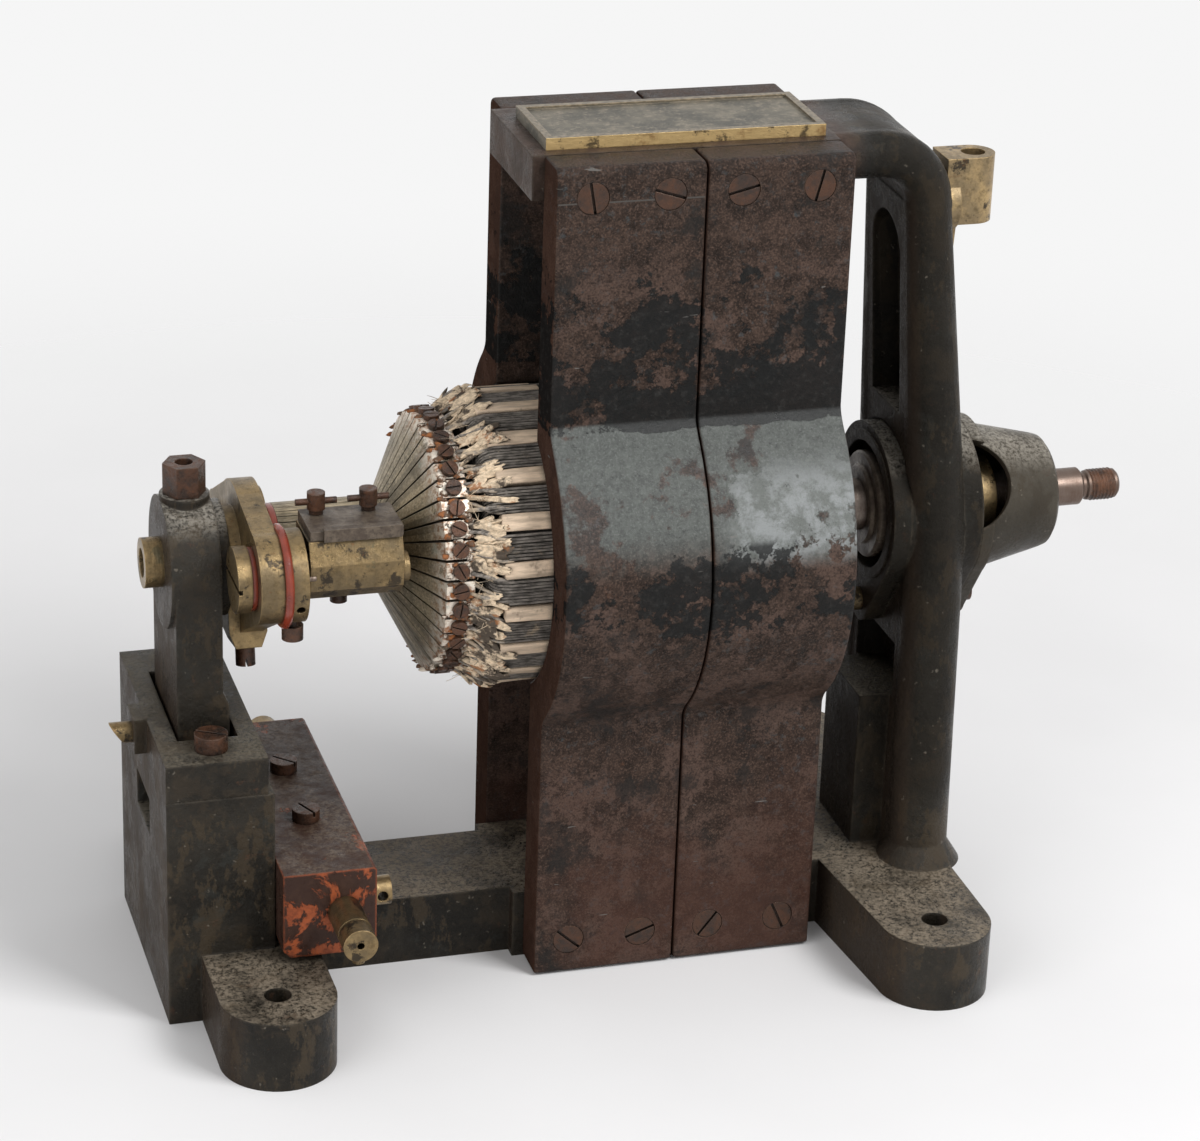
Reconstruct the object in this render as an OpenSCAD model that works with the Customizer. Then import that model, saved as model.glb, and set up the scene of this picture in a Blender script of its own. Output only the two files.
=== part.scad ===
// Antique two-pole dynamo: cast frame, bent pole bars, drum armature and brush gear.
// X runs along the shaft to the drive end, -Y is the front, Z is up from the floor.

/* [Bed] */
// Foot bolt spacing along the shaft
foot_span_x = 277; // [250:1:300]
// Foot bolt spacing across the shaft
foot_span_y = 184; // [160:1:220]
// Radius of the rounded foot ends
foot_r = 23.5; // [18:0.5:26]
// Radius of the foot bolt holes
foot_hole_r = 5.5; // [3:0.1:8]
// Height of the bed casting
bed_h = 30; // [26:0.5:34]
// Width of the beam between the feet
beam_w = 52; // [40:1:60]
// Height of the shaft axis above the floor
shaft_z = 180; // [172:1:190]

/* [Poles] */
// Centre plane of the pole bars from the middle of the feet
pole_x = 38.5; // [34:0.5:42]
// Width of one pole bar
bar_w = 60; // [54:0.5:64]
// Thickness of a pole bar
bar_t = 19; // [16:0.5:24]
// Seam between the two bars of one side
bar_seam = 0.6; // [0.2:0.1:2]
// Radius of the bore between the poles
pole_bore_r = 61.5; // [61:0.5:66]
// Half the distance between front and back bars
inner_half = 31.7; // [28:0.1:36]
// Height of the bar tops and the top yoke
top_z = 350; // [330:1:380]
// Rounding of the bars' top outer edge
bar_edge_r = 4; // [1:0.5:8]
// Space left under the bars
floor_gap = 1; // [0.5:0.1:3]
// Thickness of the top yoke
yoke_t = 18; // [14:0.5:24]
// Length of yoke standing out past the bars
yoke_over = 4.5; // [1:0.5:8]
// Distance between the two screws at one end of a bar
bar_screw_pitch = 31; // [24:0.5:36]
// Radius of the bar screw heads
bar_screw_head_r = 6.4; // [5:0.1:8]
// Radius of the bar screw shanks
bar_screw_r = 4; // [3:0.1:5]
// Nameplate length
plate_l = 114; // [80:1:118]
// Nameplate width
plate_w = 45; // [30:1:60]
// Nameplate thickness
plate_t = 4.8; // [3:0.1:7]
// Width of the nameplate's raised rim
plate_rim = 3; // [2:0.1:5]

/* [End upright] */
// Distance of the upright's ribs outside the drive end foot bolts
up_off = 13.5; // [10.5:0.5:16.5]
// Lean of the ribs towards the poles at the top bend
up_lean = 11; // [8:0.5:14]
// Rib radius from the bed to the bearing
rib_r = 12.5; // [11:0.1:13.5]
// Rib radius at the top
rib_r_top = 9.5; // [7:0.1:11]
// Half the distance between the ribs at the bed
rib_y_base = 35; // [32:0.5:38]
// Bend radius of the ribs' centre line
bend_r = 22; // [18:0.5:26]
// Height of the ledge below the bearing
ledge_z = 100; // [85:1:115]
// Length of the bearing housing
house_l = 31.5; // [26:0.5:38]
// Radius of the bearing housing and its covers
house_r = 35; // [31:0.5:38]
// Distance from the shaft down to the cover screws
tail_d = 43.6; // [40:0.1:50]
// Radius of the covers' tails
tail_r = 9.5; // [8:0.1:12]
// Radius of the upright bore in the top bracket
bracket_bore_r = 5; // [3:0.1:6.5]
// Length of the bracket's bore
bracket_h = 28; // [22:0.5:32]

/* [Pedestal] */
// Centre of the pedestal box from the middle of the feet
box_x = -153.7; // [-158:0.1:-150]
// Pedestal box length
box_lx = 43.5; // [41:0.5:48]
// Pedestal box width
box_ly = 110; // [106:1:130]
// Pedestal box height
box_h = 100; // [90:1:110]
// Height of the cap on the pedestal box
cap_h = 16; // [10:0.5:22]
// Length of the cap
cap_lx = 41; // [38:0.5:43]
// Length of the cap's opening
cap_open_x = 24.5; // [23:0.5:27]
// Width of the cap's opening
cap_open_y = 66; // [60:0.5:70]
// Depth of the seat for the standard's foot
seat_h = 16; // [10:0.5:22]
// Thickness of the standard's column
col_t = 18.5; // [16:0.5:21]
// Radius of the standard's head and half its width
head_r = 27; // [24:0.5:28]
// Radius of the spigot that carries the rocker
spigot_r = 14; // [12.5:0.1:15.5]
// Outer radius of the commutator end bush
front_bush_r = 10.2; // [9:0.1:11]
// Radius of the oil plug's seat
oil_boss_r = 10; // [8:0.1:12]
// Width across the flats of the oil plug
oil_hex = 15; // [12:0.5:17]

/* [Terminals] */
// Length of the terminal block across the bed
term_l = 139; // [110:1:160]
// Width of the terminal block
term_w = 38; // [34:0.5:42]
// Height of the terminal block
term_h = 37; // [30:0.5:44]
// Radius of the rod terminals
term_r = 7; // [5:0.1:8]
// Length of a rod terminal outside the block
term_out = 29; // [24:0.5:44]
// Radius of the wire holes in the rod terminals' ends
wire_hole_r = 1.5; // [1:0.1:2.2]
// Radius of the side terminal's cross hole
side_hole_r = 2.2; // [1.5:0.1:3]

/* [Armature] */
// Radius of the shaft in the drum and the drive end journal
shaft_r = 11; // [10:0.1:11.4]
// Radius of the commutator end journal
journal_r = 6; // [5:0.1:7]
// Radius of the pulley seat
pulley_r = 8; // [7:0.1:9]
// Length of the pulley seat outside the bell
pulley_l = 18; // [12:0.5:24]
// Outer radius of the end thread
thread_r = 6.3; // [5:0.1:6.9]
// Length of the end thread
thread_l = 17; // [10:0.5:24]
// Gap between the pegs and the poles
air_gap = 1.2; // [0.8:0.1:2]
// Height of the pegs above the core
peg_h = 5.8; // [4.4:0.1:7]
// Width of a peg
peg_w = 6.6; // [6:0.1:9]
// Radius of the winding's wire
wire_r = 1.05; // [0.7:0.05:1.1]
// Distance between neighbouring wires
wire_pitch = 2.9; // [2.8:0.05:3]
// Radius of the commutator
comm_r = 20; // [18:0.1:21]
// Outer radius of the risers
riser_r = 52.5; // [50:0.1:54]
// Number of commutator bars
comm_count = 40; // [20:20:40]
// Gap between commutator bars in degrees
comm_slit = 1.2; // [0.6:0.1:2]
// Radius of the riser screw heads
riser_screw_r = 3.2; // [2:0.1:3.6]
// Outer radius of the drive end bush
rear_bush_r = 17; // [15:0.1:20]

/* [Brush gear] */
// Distance of the brush spindles from the shaft
spindle_d = 40; // [39.5:0.1:44]
// Resting tilt of the rocker, front end up
rocker_tilt = 10; // [0:0.5:14]
// Radius of the rocker's plate about the shaft
plate_r = 31; // [28:0.1:33]
// Radius of the rocker's arm ends and the collars
arm_r = 18.5; // [15:0.1:19]
// Thickness of the rocker's arms
arm_t = 9.5; // [7:0.1:11]
// Radius of the brush spindles
spindle_r = 6; // [5:0.1:7]
// Radius of the spindle heads
spindle_head_r = 13.2; // [11:0.1:13.5]
// Radius of the insulating flanges
flange_r = 20.8; // [19.5:0.1:22]
// Length of a brush holder
holder_l = 37.5; // [34:0.5:39]
// Thickness of a clamp plate
clamp_t = 4; // [3:0.1:6]
// Distance between the two tee screws of a holder
tee_pitch = 21; // [19:0.5:24]
// Radius of the tee screw barrels
tee_r = 3.6; // [3:0.1:4.5]
// Height of the tee screw barrels
tee_h = 7; // [5:0.1:10]
// Length of the tee screw cross pins
tee_pin_l = 16.5; // [12:0.5:18]

/* [Fits] */
// Radial clearance of running fits
run_fit = 0.05; // [0.02:0.01:0.1]
// Clearance of fixed pieces in their seats
seat_fit = 0.04; // [0.02:0.01:0.1]

/* [Hidden] */
$fn = 64;

iron = [0.16, 0.16, 0.15];
bar_brown = [0.22, 0.15, 0.13];
steel = [0.42, 0.36, 0.33];
rusty = [0.33, 0.21, 0.16];
brass = [0.55, 0.44, 0.24];
red = [0.55, 0.13, 0.08];
wood = [0.62, 0.47, 0.30];
cotton = [0.16, 0.16, 0.16];
cream = [0.80, 0.72, 0.58];

// Poles and bed
bar_out = inner_half + bar_t;
pole_l = pole_x - bar_w - bar_seam / 2;
pole_r = pole_x + bar_w + bar_seam / 2;
bar_mid = bar_w / 2 + bar_seam / 2;
screw_top_z = top_z - yoke_t / 2 - 3;
screw_low_z = bed_h / 2 + 1;
base_l = foot_span_x / 2 - foot_r;
base_r = foot_span_x / 2 + foot_r;

// Upright
up_x = foot_span_x / 2 + up_off;
up_x_top = up_x - up_lean;
rib_set = 0.3;
arm_z = top_z - rib_r_top - rib_set;
bend_z = arm_z - bend_r;
bend_x = up_x_top - bend_r;
rib_y_top = inner_half - rib_r_top - rib_set;
rib_in = 3;
house_x0 = up_x - rib_r - 0.05;
house_x1 = house_x0 + house_l;
flange_t = 8;
bell_flange_t = 5;
bell_x0 = house_x1 + bell_flange_t;
bell_l = 34;
bell_x1 = bell_x0 + bell_l;
rear_bush_x0 = house_x0 - 5;
rear_bush_x1 = bell_x0 + 8;
cover_screw_r = 3;
flank_set = 0.3;
bracket_z = bend_z - 6.5;
bracket_x = up_x_top + 27;
bracket_disc_r = 12;
bracket_boss_r = bracket_bore_r + 4;
bracket_foot = bracket_z - 46;
bracket_dowel_r = 5;

// Pedestal and standard
box_l = box_x - box_lx / 2;
cap_l = box_l;
cap_x = cap_l + cap_lx / 2;
cap_z = box_h + cap_h;
seat_x = box_x - 1;
foot_lx = cap_open_x + 8;
foot_ly = cap_open_y - 3;
cap_screw_y = (box_ly / 2 + cap_open_y / 2) / 2 - 2;
spout_y = -3;
spout_z = box_h + 7.5;
spout_r = 4.4;
col_x1 = seat_x + 7.7;
col_x0 = col_x1 - col_t;
head_x0 = col_x0 - 1.5;
flange_x1 = col_x1 + 4.4;
bush_x0 = head_x0 - 7.5;

// Terminals
term_x0 = box_x + box_lx / 2 + 0.4;
term_x = term_x0 + term_w / 2;
term_z0 = bed_h + 3;
term_z = term_z0 + term_h;
rod_x = term_x + 6;
rod_z = term_z0 + term_h / 2;
side_y = -term_l / 2 + 14.5;
block_screw_y = beam_w / 2 - 3.5;
block_screw_r = 2.5;

// Height of the standard's thicker foot above the pedestal
rib_h = (shaft_z - box_h) / 3;

// Brush gear along the shaft
hub_x0 = flange_x1 + 0.6;
arm_x0 = hub_x0 + 4.5;
arm_x1 = arm_x0 + arm_t;
hub_x1 = arm_x1 + 1.5;
spigot_x1 = hub_x1 + 0.4;
bush_x1 = spigot_x1 + 0.4;
washer_t = 2.2;
ring_t = 3.2;
collar_t = 6.4;
collar_x0 = arm_x1 + ring_t;
collar_x1 = collar_x0 + collar_t;
holder_x0 = collar_x1 + 1.9;
holder_x1 = holder_x0 + holder_l;
clamp_x0 = holder_x0 + 0.8;
clamp_x1 = holder_x1 + 0.5;
spindle_x1 = holder_x1 + 3.5;
spindle_y = -spindle_d * cos(rocker_tilt);
spindle_z = shaft_z + spindle_d * sin(rocker_tilt);
holder_top = 16;
tee_y = 13;
tee_neck = 1.9;
tee_hole_d = holder_top / 2;
// Where the rocker's flanks leave its plate, as the angle from an arm's length
flank_a = acos((plate_r - arm_r) / spindle_d);
tee_x = holder_x0 + 17.5;

// Armature along the shaft
shaft_x0 = bush_x0 + 8.5;
shoulder_x = bush_x1 + 1;
neck_r = journal_r + 1.8;
ring_x0 = shoulder_x + 0.6;
comm_x0 = ring_x0 + 2.75;
comm_x1 = holder_x1;
riser_x0 = comm_x1 + 16.5;
riser_x1 = riser_x0 + 11.5;
comm_in_r = comm_r - 6.1;
core_r = pole_bore_r - air_gap - peg_h;
drum_x0 = pole_l - 14.5;
drum_x1 = pole_r - 13.5;
peg_x0 = drum_x0 - 4;
peg_l = 30;
coil_count = 10;
loops = 3;
wind_r = core_r + wire_r + 0.5;
bend_left = drum_x0 - 6.5;
bend_right = drum_x1 + 17;
level_left = 2.3;
level_right = 2.2;
first_left = drum_x0 - 4;
first_right = drum_x1 + 2;
pass_d = shaft_r + wire_r + 0.8;

// Point on the ribs' centre line at height z
function rib_x(z) = up_x + (up_x_top - up_x) * max(0, z - shaft_z) / (bend_z - shaft_z);
function rib_y(z) = rib_y_base + (rib_y_top - rib_y_base) * (z - bed_h) / (bend_z - bed_h);
function rib_rad(z) = rib_r + (rib_r_top - rib_r) * max(0, z - shaft_z) / (bend_z - shaft_z);
// Outer face of the upright between its ribs
function web_out(z) = rib_x(z) + rib_rad(z) - rib_in;

// Extrude a drawing of Y and Z along X, from x0 to x1
module along_x(x0, x1) {
  translate([x0, 0, 0])
    rotate([90, 0, 90])
      linear_extrude(height = x1 - x0)
        children();
}

// Extrude a drawing of X and Z along Y, centred
module along_y(width) {
  rotate([90, 0, 0])
    linear_extrude(height = width, center = true)
      children();
}

// Turn a drawing of radius and X about the shaft axis
module turned() {
  translate([0, 0, shaft_z])
    rotate([0, 90, 0])
      rotate_extrude($fn = 128)
        children();
}

// Cylinder along X on the shaft axis
module on_shaft(x0, x1, r) {
  translate([x0, 0, shaft_z])
    rotate([0, 90, 0])
      cylinder(h = x1 - x0, r = r, $fn = 128);
}

// Cylinder along X at a point
module rod_x_at(x0, x1, y, z, r) {
  translate([x0, y, z])
    rotate([0, 90, 0])
      cylinder(h = x1 - x0, r = r);
}

// Round rod between two points
module rod(p, q, r1, r2) {
  d = q - p;
  translate(p)
    rotate([0, acos(d[2] / norm(d)), atan2(d[1], d[0])])
      cylinder(h = norm(d), r1 = r1, r2 = r2);
}

// Turn the front brush gear half a turn about the shaft
module to_back() {
  translate([0, 0, shaft_z])
    rotate([180, 0, 0])
      translate([0, 0, -shaft_z])
        children();
}

// Slotted screw pointing down from z = 0, with its head above
module slotted_screw(head_r, head_h, r, l, turn) {
  difference() {
    union() {
      cylinder(h = head_h, r = head_r);
      translate([0, 0, -l])
        cylinder(h = l + 0.5, r = r);
    }
    rotate([0, 0, turn])
      translate([-head_r - 1, -head_r * 0.09, head_h * 0.6])
        cube([2 * head_r + 2, head_r * 0.18, head_h]);
  }
}

// Round plate with a tapering tail, drawn about the shaft axis, its flanks a little inside the rounds
module pear(grow) {
  big = house_r + grow - flank_set;
  small = tail_r + grow - flank_set;
  ny = -(big - small) / tail_d;
  nx = sqrt(1 - ny * ny);
  translate([0, shaft_z]) {
    circle(r = big + flank_set, $fn = 128);
    translate([0, -tail_d])
      circle(r = small + flank_set);
    polygon([[big * nx, big * ny], [small * nx, -tail_d + small * ny],
             [-small * nx, -tail_d + small * ny], [-big * nx, big * ny]]);
  }
}

module bed_plan() {
  for (s = [-1, 1])
    for (e = [-1, 1])
      translate([e * foot_span_x / 2, s * foot_span_y / 2])
        circle(r = foot_r);
  translate([-foot_span_x / 2 - foot_r, -foot_span_y / 2])
    square([2 * foot_r, foot_span_y]);
  polygon([[base_l - 7, -beam_w / 2], [base_l, -foot_span_y / 2], [base_r, -foot_span_y / 2],
           [base_r, foot_span_y / 2], [base_l, foot_span_y / 2], [base_l - 7, beam_w / 2]]);
  translate([-foot_span_x / 2, -beam_w / 2])
    square([foot_span_x, beam_w]);
  translate([pole_l - yoke_over, -inner_half])
    square([base_l + 5 - pole_l + yoke_over, 2 * inner_half]);
}

module pedestal_box() {
  difference() {
    translate([box_l, -box_ly / 2, 0])
      cube([box_lx, box_ly, box_h]);
    translate([seat_x - foot_lx / 2 - seat_fit, -foot_ly / 2 - seat_fit, box_h - seat_h])
      cube([foot_lx + 2 * seat_fit, foot_ly + 2 * seat_fit, seat_h + 1]);
    translate([box_l - 1, -15, box_h - seat_h - 18])
      cube([15, 30, 16]);
  }
}

// One rounded rib: straight from the bed, leaning in and bending over to the yoke
module rib(s) {
  base = [up_x, s * rib_y(bed_h), bed_h - 4];
  middle = [up_x, s * rib_y(shaft_z), shaft_z];
  top = [up_x_top, s * rib_y_top, bend_z];
  rod(base, middle, rib_r, rib_r);
  translate(middle)
    sphere(r = rib_r + 0.35);
  rod(middle, top, rib_r, rib_r_top);
  translate(top)
    sphere(r = rib_r_top + 0.35);
  translate([bend_x, s * rib_y_top, bend_z])
    rotate([90, 0, 0])
      rotate_extrude(angle = 90)
        translate([bend_r, 0])
          circle(r = rib_r_top);
  rod_x_at(pole_r - 1, bend_x, s * rib_y_top, arm_z, rib_r_top);
  translate([up_x, s * rib_y(bed_h), bed_h - 1])
    cylinder(h = 10, r1 = rib_r + 5.5, r2 = rib_r - 1);
}

// Side outline of the upright between its ribs
module web_side() {
  polygon([[rib_x(bend_z) - rib_r_top, bend_z + 1], [up_x - rib_r + 1, shaft_z],
           [up_x - rib_r + 1, bed_h - 1], [web_out(shaft_z), bed_h - 1],
           [web_out(shaft_z), shaft_z], [web_out(bend_z), bend_z + 1]]);
  intersection() {
    difference() {
      translate([bend_x, bend_z])
        circle(r = bend_r + rib_r_top - rib_set, $fn = 128);
      translate([bend_x, bend_z])
        circle(r = bend_r - rib_r_top + rib_set, $fn = 128);
    }
    translate([bend_x, bend_z])
      square(100);
  }
  translate([pole_r - 1, arm_z - rib_r_top + rib_set])
    square([bend_x - pole_r + 1, 2 * rib_r_top - 2 * rib_set]);
}

// Plate between the ribs, with an arched recess above the bearing and a plain one below
module web() {
  low = shaft_z + 46;
  arch_r = 16;
  difference() {
    intersection() {
      along_y(2 * rib_y_base)
        web_side();
      along_x(pole_r - 20, base_r + 40)
        polygon([[-rib_y(0), 0], [rib_y(0), 0], [rib_y_top, bend_z], [rib_y_top, top_z + 1],
                 [-rib_y_top, top_z + 1], [-rib_y_top, bend_z]]);
    }
    intersection() {
      along_y(60)
        polygon([[pole_r, bend_z], [pole_r, low], [web_out(low) - 7, low],
                 [web_out(bend_z) - 7, bend_z]]);
      along_x(pole_r + 1, base_r + 40) {
        translate([-arch_r, low])
          square([2 * arch_r, bend_z - 9 - arch_r - low]);
        translate([0, bend_z - 9 - arch_r])
          circle(r = arch_r);
      }
    }
    translate([pole_r + 1, -22, ledge_z])
      cube([web_out(shaft_z) - 9 - pole_r - 1, 44, shaft_z - tail_d - tail_r - 3 - ledge_z]);
  }
}

module upright() {
  difference() {
    union() {
      web();
      for (s = [-1, 1])
        rib(s);
    }
    // Flat facing for the inner cover
    along_x(pole_r + 2, house_x0)
      pear(0.8);
  }
  translate([up_x - rib_r - 12.5, -20, bed_h - 1])
    cube([20, 40, ledge_z - bed_h + 1]);
  along_x(house_x0, house_x1)
    pear(0);
}

module main_frame() {
  color(iron)
    difference() {
      union() {
        linear_extrude(height = bed_h)
          bed_plan();
        translate([term_x0 - 2, -beam_w / 2, 0])
          cube([term_w + 2, beam_w, term_z0]);
        pedestal_box();
        upright();
        translate([pole_l - yoke_over, -inner_half, top_z - yoke_t])
          cube([pole_r - pole_l + yoke_over, 2 * inner_half, yoke_t]);
      }
      // Hollow of the pedestal, open below
      translate([seat_x - 11.5, -20, -1])
        cube([23, 40, box_h - seat_h + 2]);
      for (s = [-1, 1]) {
        for (e = [-1, 1])
          translate([e * foot_span_x / 2, s * foot_span_y / 2, -1])
            cylinder(h = bed_h + 2, r = foot_hole_r);
        translate([cap_x, s * cap_screw_y, box_h - 25])
          cylinder(h = 30, r = 4 + seat_fit);
        translate([term_x, s * block_screw_y, term_z0 - 20])
          cylinder(h = 40, r = block_screw_r + seat_fit);
      }
      bar_screw_holes();
      on_shaft(house_x0 - 1, house_x1 + 1, rear_bush_r + seat_fit);
      rod_x_at(house_x0 - 1, house_x1 + 1, 0, shaft_z - tail_d, cover_screw_r + seat_fit);
      rod_x_at(web_out(bracket_z) - 5.1, web_out(bracket_z) + 20, 0, bracket_z, bracket_dowel_r + seat_fit);
    }
}

module bar_screw_holes() {
  for (s = [-1, 1])
    for (b = [-1, 1])
      for (e = [-1, 1])
        for (z = [screw_low_z, screw_top_z])
          translate([pole_x + b * bar_mid + e * bar_screw_pitch / 2, s * (inner_half + 1), z])
            rotate([s * 90, 0, 0])
              cylinder(h = 15, r = bar_screw_r + seat_fit);
}

// Section of the front bars: straight ends and a half-round middle around the armature
module bar_section() {
  difference() {
    union() {
      translate([-bar_out, floor_gap])
        square([bar_t, top_z - floor_gap]);
      intersection() {
        translate([0, shaft_z])
          circle(r = pole_bore_r + bar_t, $fn = 160);
        translate([-200, 0])
          square([200 - inner_half, top_z]);
      }
    }
    translate([0, shaft_z])
      circle(r = pole_bore_r, $fn = 160);
    difference() {
      translate([-bar_out - 1, top_z - bar_edge_r])
        square(bar_edge_r + 1);
      translate([-bar_out + bar_edge_r, top_z - bar_edge_r])
        circle(r = bar_edge_r);
    }
  }
}

module front_bar(side) {
  x0 = pole_x + side * bar_mid - bar_w / 2;
  difference() {
    along_x(x0, x0 + bar_w)
      bar_section();
    for (e = [-1, 1])
      for (z = [screw_low_z, screw_top_z])
        translate([x0 + bar_w / 2 + e * bar_screw_pitch / 2, -bar_out - 1, z])
          rotate([-90, 0, 0]) {
            cylinder(h = 50, r = bar_screw_r + seat_fit);
            cylinder(h = 4.8, r = bar_screw_head_r + 0.2);
          }
  }
}

module pole_bar_front_left() {
  color(bar_brown)
    front_bar(-1);
}

module pole_bar_front_right() {
  color(bar_brown)
    front_bar(1);
}

module pole_bar_back_left() {
  color(bar_brown)
    mirror([0, 1, 0])
      front_bar(-1);
}

module pole_bar_back_right() {
  color(bar_brown)
    mirror([0, 1, 0])
      front_bar(1);
}

module bar_screw_set(turn) {
  for (b = [-1, 1])
    for (e = [-1, 1])
      for (z = [screw_low_z, screw_top_z])
        translate([pole_x + b * bar_mid + e * bar_screw_pitch / 2, -bar_out + 3.8, z])
          rotate([90, 0, 0])
            slotted_screw(bar_screw_head_r, 3.6, bar_screw_r, bar_t + 8, turn + 47 * b + 31 * e + z);
}

module front_bar_screws() {
  color(rusty)
    bar_screw_set(20);
}

module back_bar_screws() {
  color(rusty)
    mirror([0, 1, 0])
      bar_screw_set(65);
}

module nameplate() {
  color(brass)
    translate([pole_x - 1, -3, top_z])
      difference() {
        translate([-plate_l / 2, -plate_w / 2, 0])
          cube([plate_l, plate_w, plate_t]);
        translate([-plate_l / 2 + plate_rim, -plate_w / 2 + plate_rim, plate_t - 1.2])
          cube([plate_l - 2 * plate_rim, plate_w - 2 * plate_rim, 2]);
      }
}

module pedestal_cap() {
  color(iron)
    difference() {
      union() {
        translate([cap_l, -box_ly / 2, box_h])
          cube([cap_lx, box_ly, cap_h]);
        translate([cap_l - 5, spout_y - 8, box_h + 1])
          cube([6, 16, cap_h - 1]);
      }
      translate([seat_x - cap_open_x / 2, -cap_open_y / 2, box_h - 1])
        cube([cap_open_x, cap_open_y, cap_h + 2]);
      for (s = [-1, 1])
        translate([cap_x, s * cap_screw_y, box_h - 1])
          cylinder(h = cap_h + 2, r = 4 + seat_fit);
      spout_at()
        cylinder(h = 40, r = spout_r + seat_fit, center = true);
    }
}

// The spout leads straight out through the cap's left wall
module spout_at() {
  translate([cap_l, spout_y, spout_z])
    rotate([0, -90, 0])
      children();
}

module oil_spout() {
  color(brass)
    difference() {
      spout_at()
        translate([0, 0, -7])
          cylinder(h = 21, r = spout_r);
      spout_at()
        translate([0, 0, -8])
          cylinder(h = 30, r = spout_r - 1.2);
      // Oblique cut of the mouth, longer above
      spout_at()
        translate([-spout_r, 0, 8])
          rotate([0, -35, 0])
            translate([-10, -10, 0])
              cube([30, 20, 20]);
    }
}

module cap_screws() {
  color(rusty)
    for (s = [-1, 1])
      translate([cap_x, s * cap_screw_y, cap_z])
        slotted_screw(6.7, 7, 4, cap_h + 22, 20 + 50 * s);
}

module bearing_standard() {
  color(iron)
    difference() {
      union() {
        on_shaft(head_x0, col_x1, head_r);
        on_shaft(col_x1 - 1, flange_x1, head_r - 3.4);
        on_shaft(col_x1 - 1, spigot_x1, spigot_r);
        along_y(2 * head_r - 1)
          polygon([[col_x0, shaft_z], [col_x0, box_h - 1], [col_x1 + 2.5, box_h - 1],
                   [col_x1 + 2.5, box_h + rib_h], [col_x1, box_h + rib_h * 1.22], [col_x1, shaft_z]]);
        translate([seat_x - foot_lx / 2, -foot_ly / 2, box_h - seat_h])
          cube([foot_lx, foot_ly, seat_h]);
        translate([(head_x0 + col_x1) / 2, 0, shaft_z + 15])
          cylinder(h = head_r - 13, r = oil_boss_r);
      }
      on_shaft(head_x0 - 1, spigot_x1 + 1, front_bush_r + seat_fit);
      translate([(head_x0 + col_x1) / 2, 0, shaft_z])
        cylinder(h = 60, r = 4.5 + seat_fit);
    }
}

module commutator_end_bush() {
  color(brass)
    difference() {
      on_shaft(bush_x0, bush_x1, front_bush_r);
      on_shaft(bush_x0 - 1, bush_x1 + 1, journal_r + run_fit);
      translate([(head_x0 + col_x1) / 2, 0, shaft_z])
        cylinder(h = 20, r = 1.8);
    }
}

module oil_plug() {
  color(rusty)
    translate([(head_x0 + col_x1) / 2, 0, shaft_z + head_r + 2])
      difference() {
        union() {
          cylinder(h = 13, r = oil_hex / 2 / cos(30), $fn = 6);
          translate([0, 0, -10])
            cylinder(h = 11, r = 4.5);
        }
        translate([0, 0, -11])
          cylinder(h = 30, r = 1.8);
        translate([0, 0, 5])
          cylinder(h = 10, r = 3.6);
      }
}

module terminal_block() {
  color(red)
    difference() {
      along_y(term_l)
        polygon([[term_x0, term_z], [term_x0, term_z0 + 3], [term_x0 + 3, term_z0],
                 [term_x0 + term_w - 1, term_z0], [term_x0 + term_w, term_z0 + 1],
                 [term_x0 + term_w, term_z - 1], [term_x0 + term_w - 1, term_z]]);
      for (s = [-1, 1]) {
        translate([term_x, s * block_screw_y, term_z0 - 1])
          cylinder(h = term_h + 2, r = block_screw_r + seat_fit);
        translate([rod_x, s * term_l / 2, rod_z])
          rotate([90, 0, 0])
            cylinder(h = 21, r = 4 + seat_fit, center = true);
      }
      rod_x_at(term_x0 + term_w - 6.5, term_x0 + term_w + 1, side_y, rod_z, 3 + seat_fit);
    }
}

module terminal_block_screws() {
  color(rusty)
    for (s = [-1, 1])
      translate([term_x, s * block_screw_y, term_z])
        slotted_screw(5.7, 5, block_screw_r, term_h + 18, 125 + 10 * s);
}

module rod_terminal() {
  translate([rod_x, -term_l / 2, rod_z])
    rotate([90, 0, 0])
      difference() {
        union() {
          cylinder(h = term_out, r = term_r);
          translate([0, 0, -10])
            cylinder(h = 11, r = 4);
        }
        // Groove before the end section
        translate([0, 0, term_out * 0.66])
          difference() {
            cylinder(h = 1.2, r = term_r + 1);
            translate([0, 0, -1])
              cylinder(h = 4, r = term_r - 0.8);
          }
        translate([0, 0, term_out - 10])
          cylinder(h = 11, r = wire_hole_r);
        translate([0, -term_r - 1, term_out * 0.85])
          rotate([-90, 0, 0])
            cylinder(h = term_r + 1, r = 2 + seat_fit);
      }
}

module front_terminal() {
  color(brass)
    rod_terminal();
}

module back_terminal() {
  color(brass)
    mirror([0, 1, 0])
      rod_terminal();
}

module binding_screws() {
  color(rusty)
    for (s = [-1, 1])
      translate([rod_x, s * (term_l / 2 + term_out * 0.85), rod_z - term_r - 0.1])
        rotate([180, 0, 0])
          slotted_screw(2.6, 2, 2, term_r - wire_hole_r - 0.3, 30);
}

module side_terminal() {
  color(brass)
    difference() {
      union() {
        rod_x_at(term_x0 + term_w, term_x0 + term_w + 8.5, side_y, rod_z, 6);
        rod_x_at(term_x0 + term_w - 6, term_x0 + term_w + 1, side_y, rod_z, 3);
      }
      translate([term_x0 + term_w + 4.6, side_y, rod_z])
        rotate([90, 0, 0])
          cylinder(h = 20, r = side_hole_r, center = true);
    }
}

module drive_end_bush() {
  color(brass)
    difference() {
      on_shaft(rear_bush_x0, rear_bush_x1, rear_bush_r);
      on_shaft(rear_bush_x0 - 1, rear_bush_x1 + 1, shaft_r + run_fit);
    }
}

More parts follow.
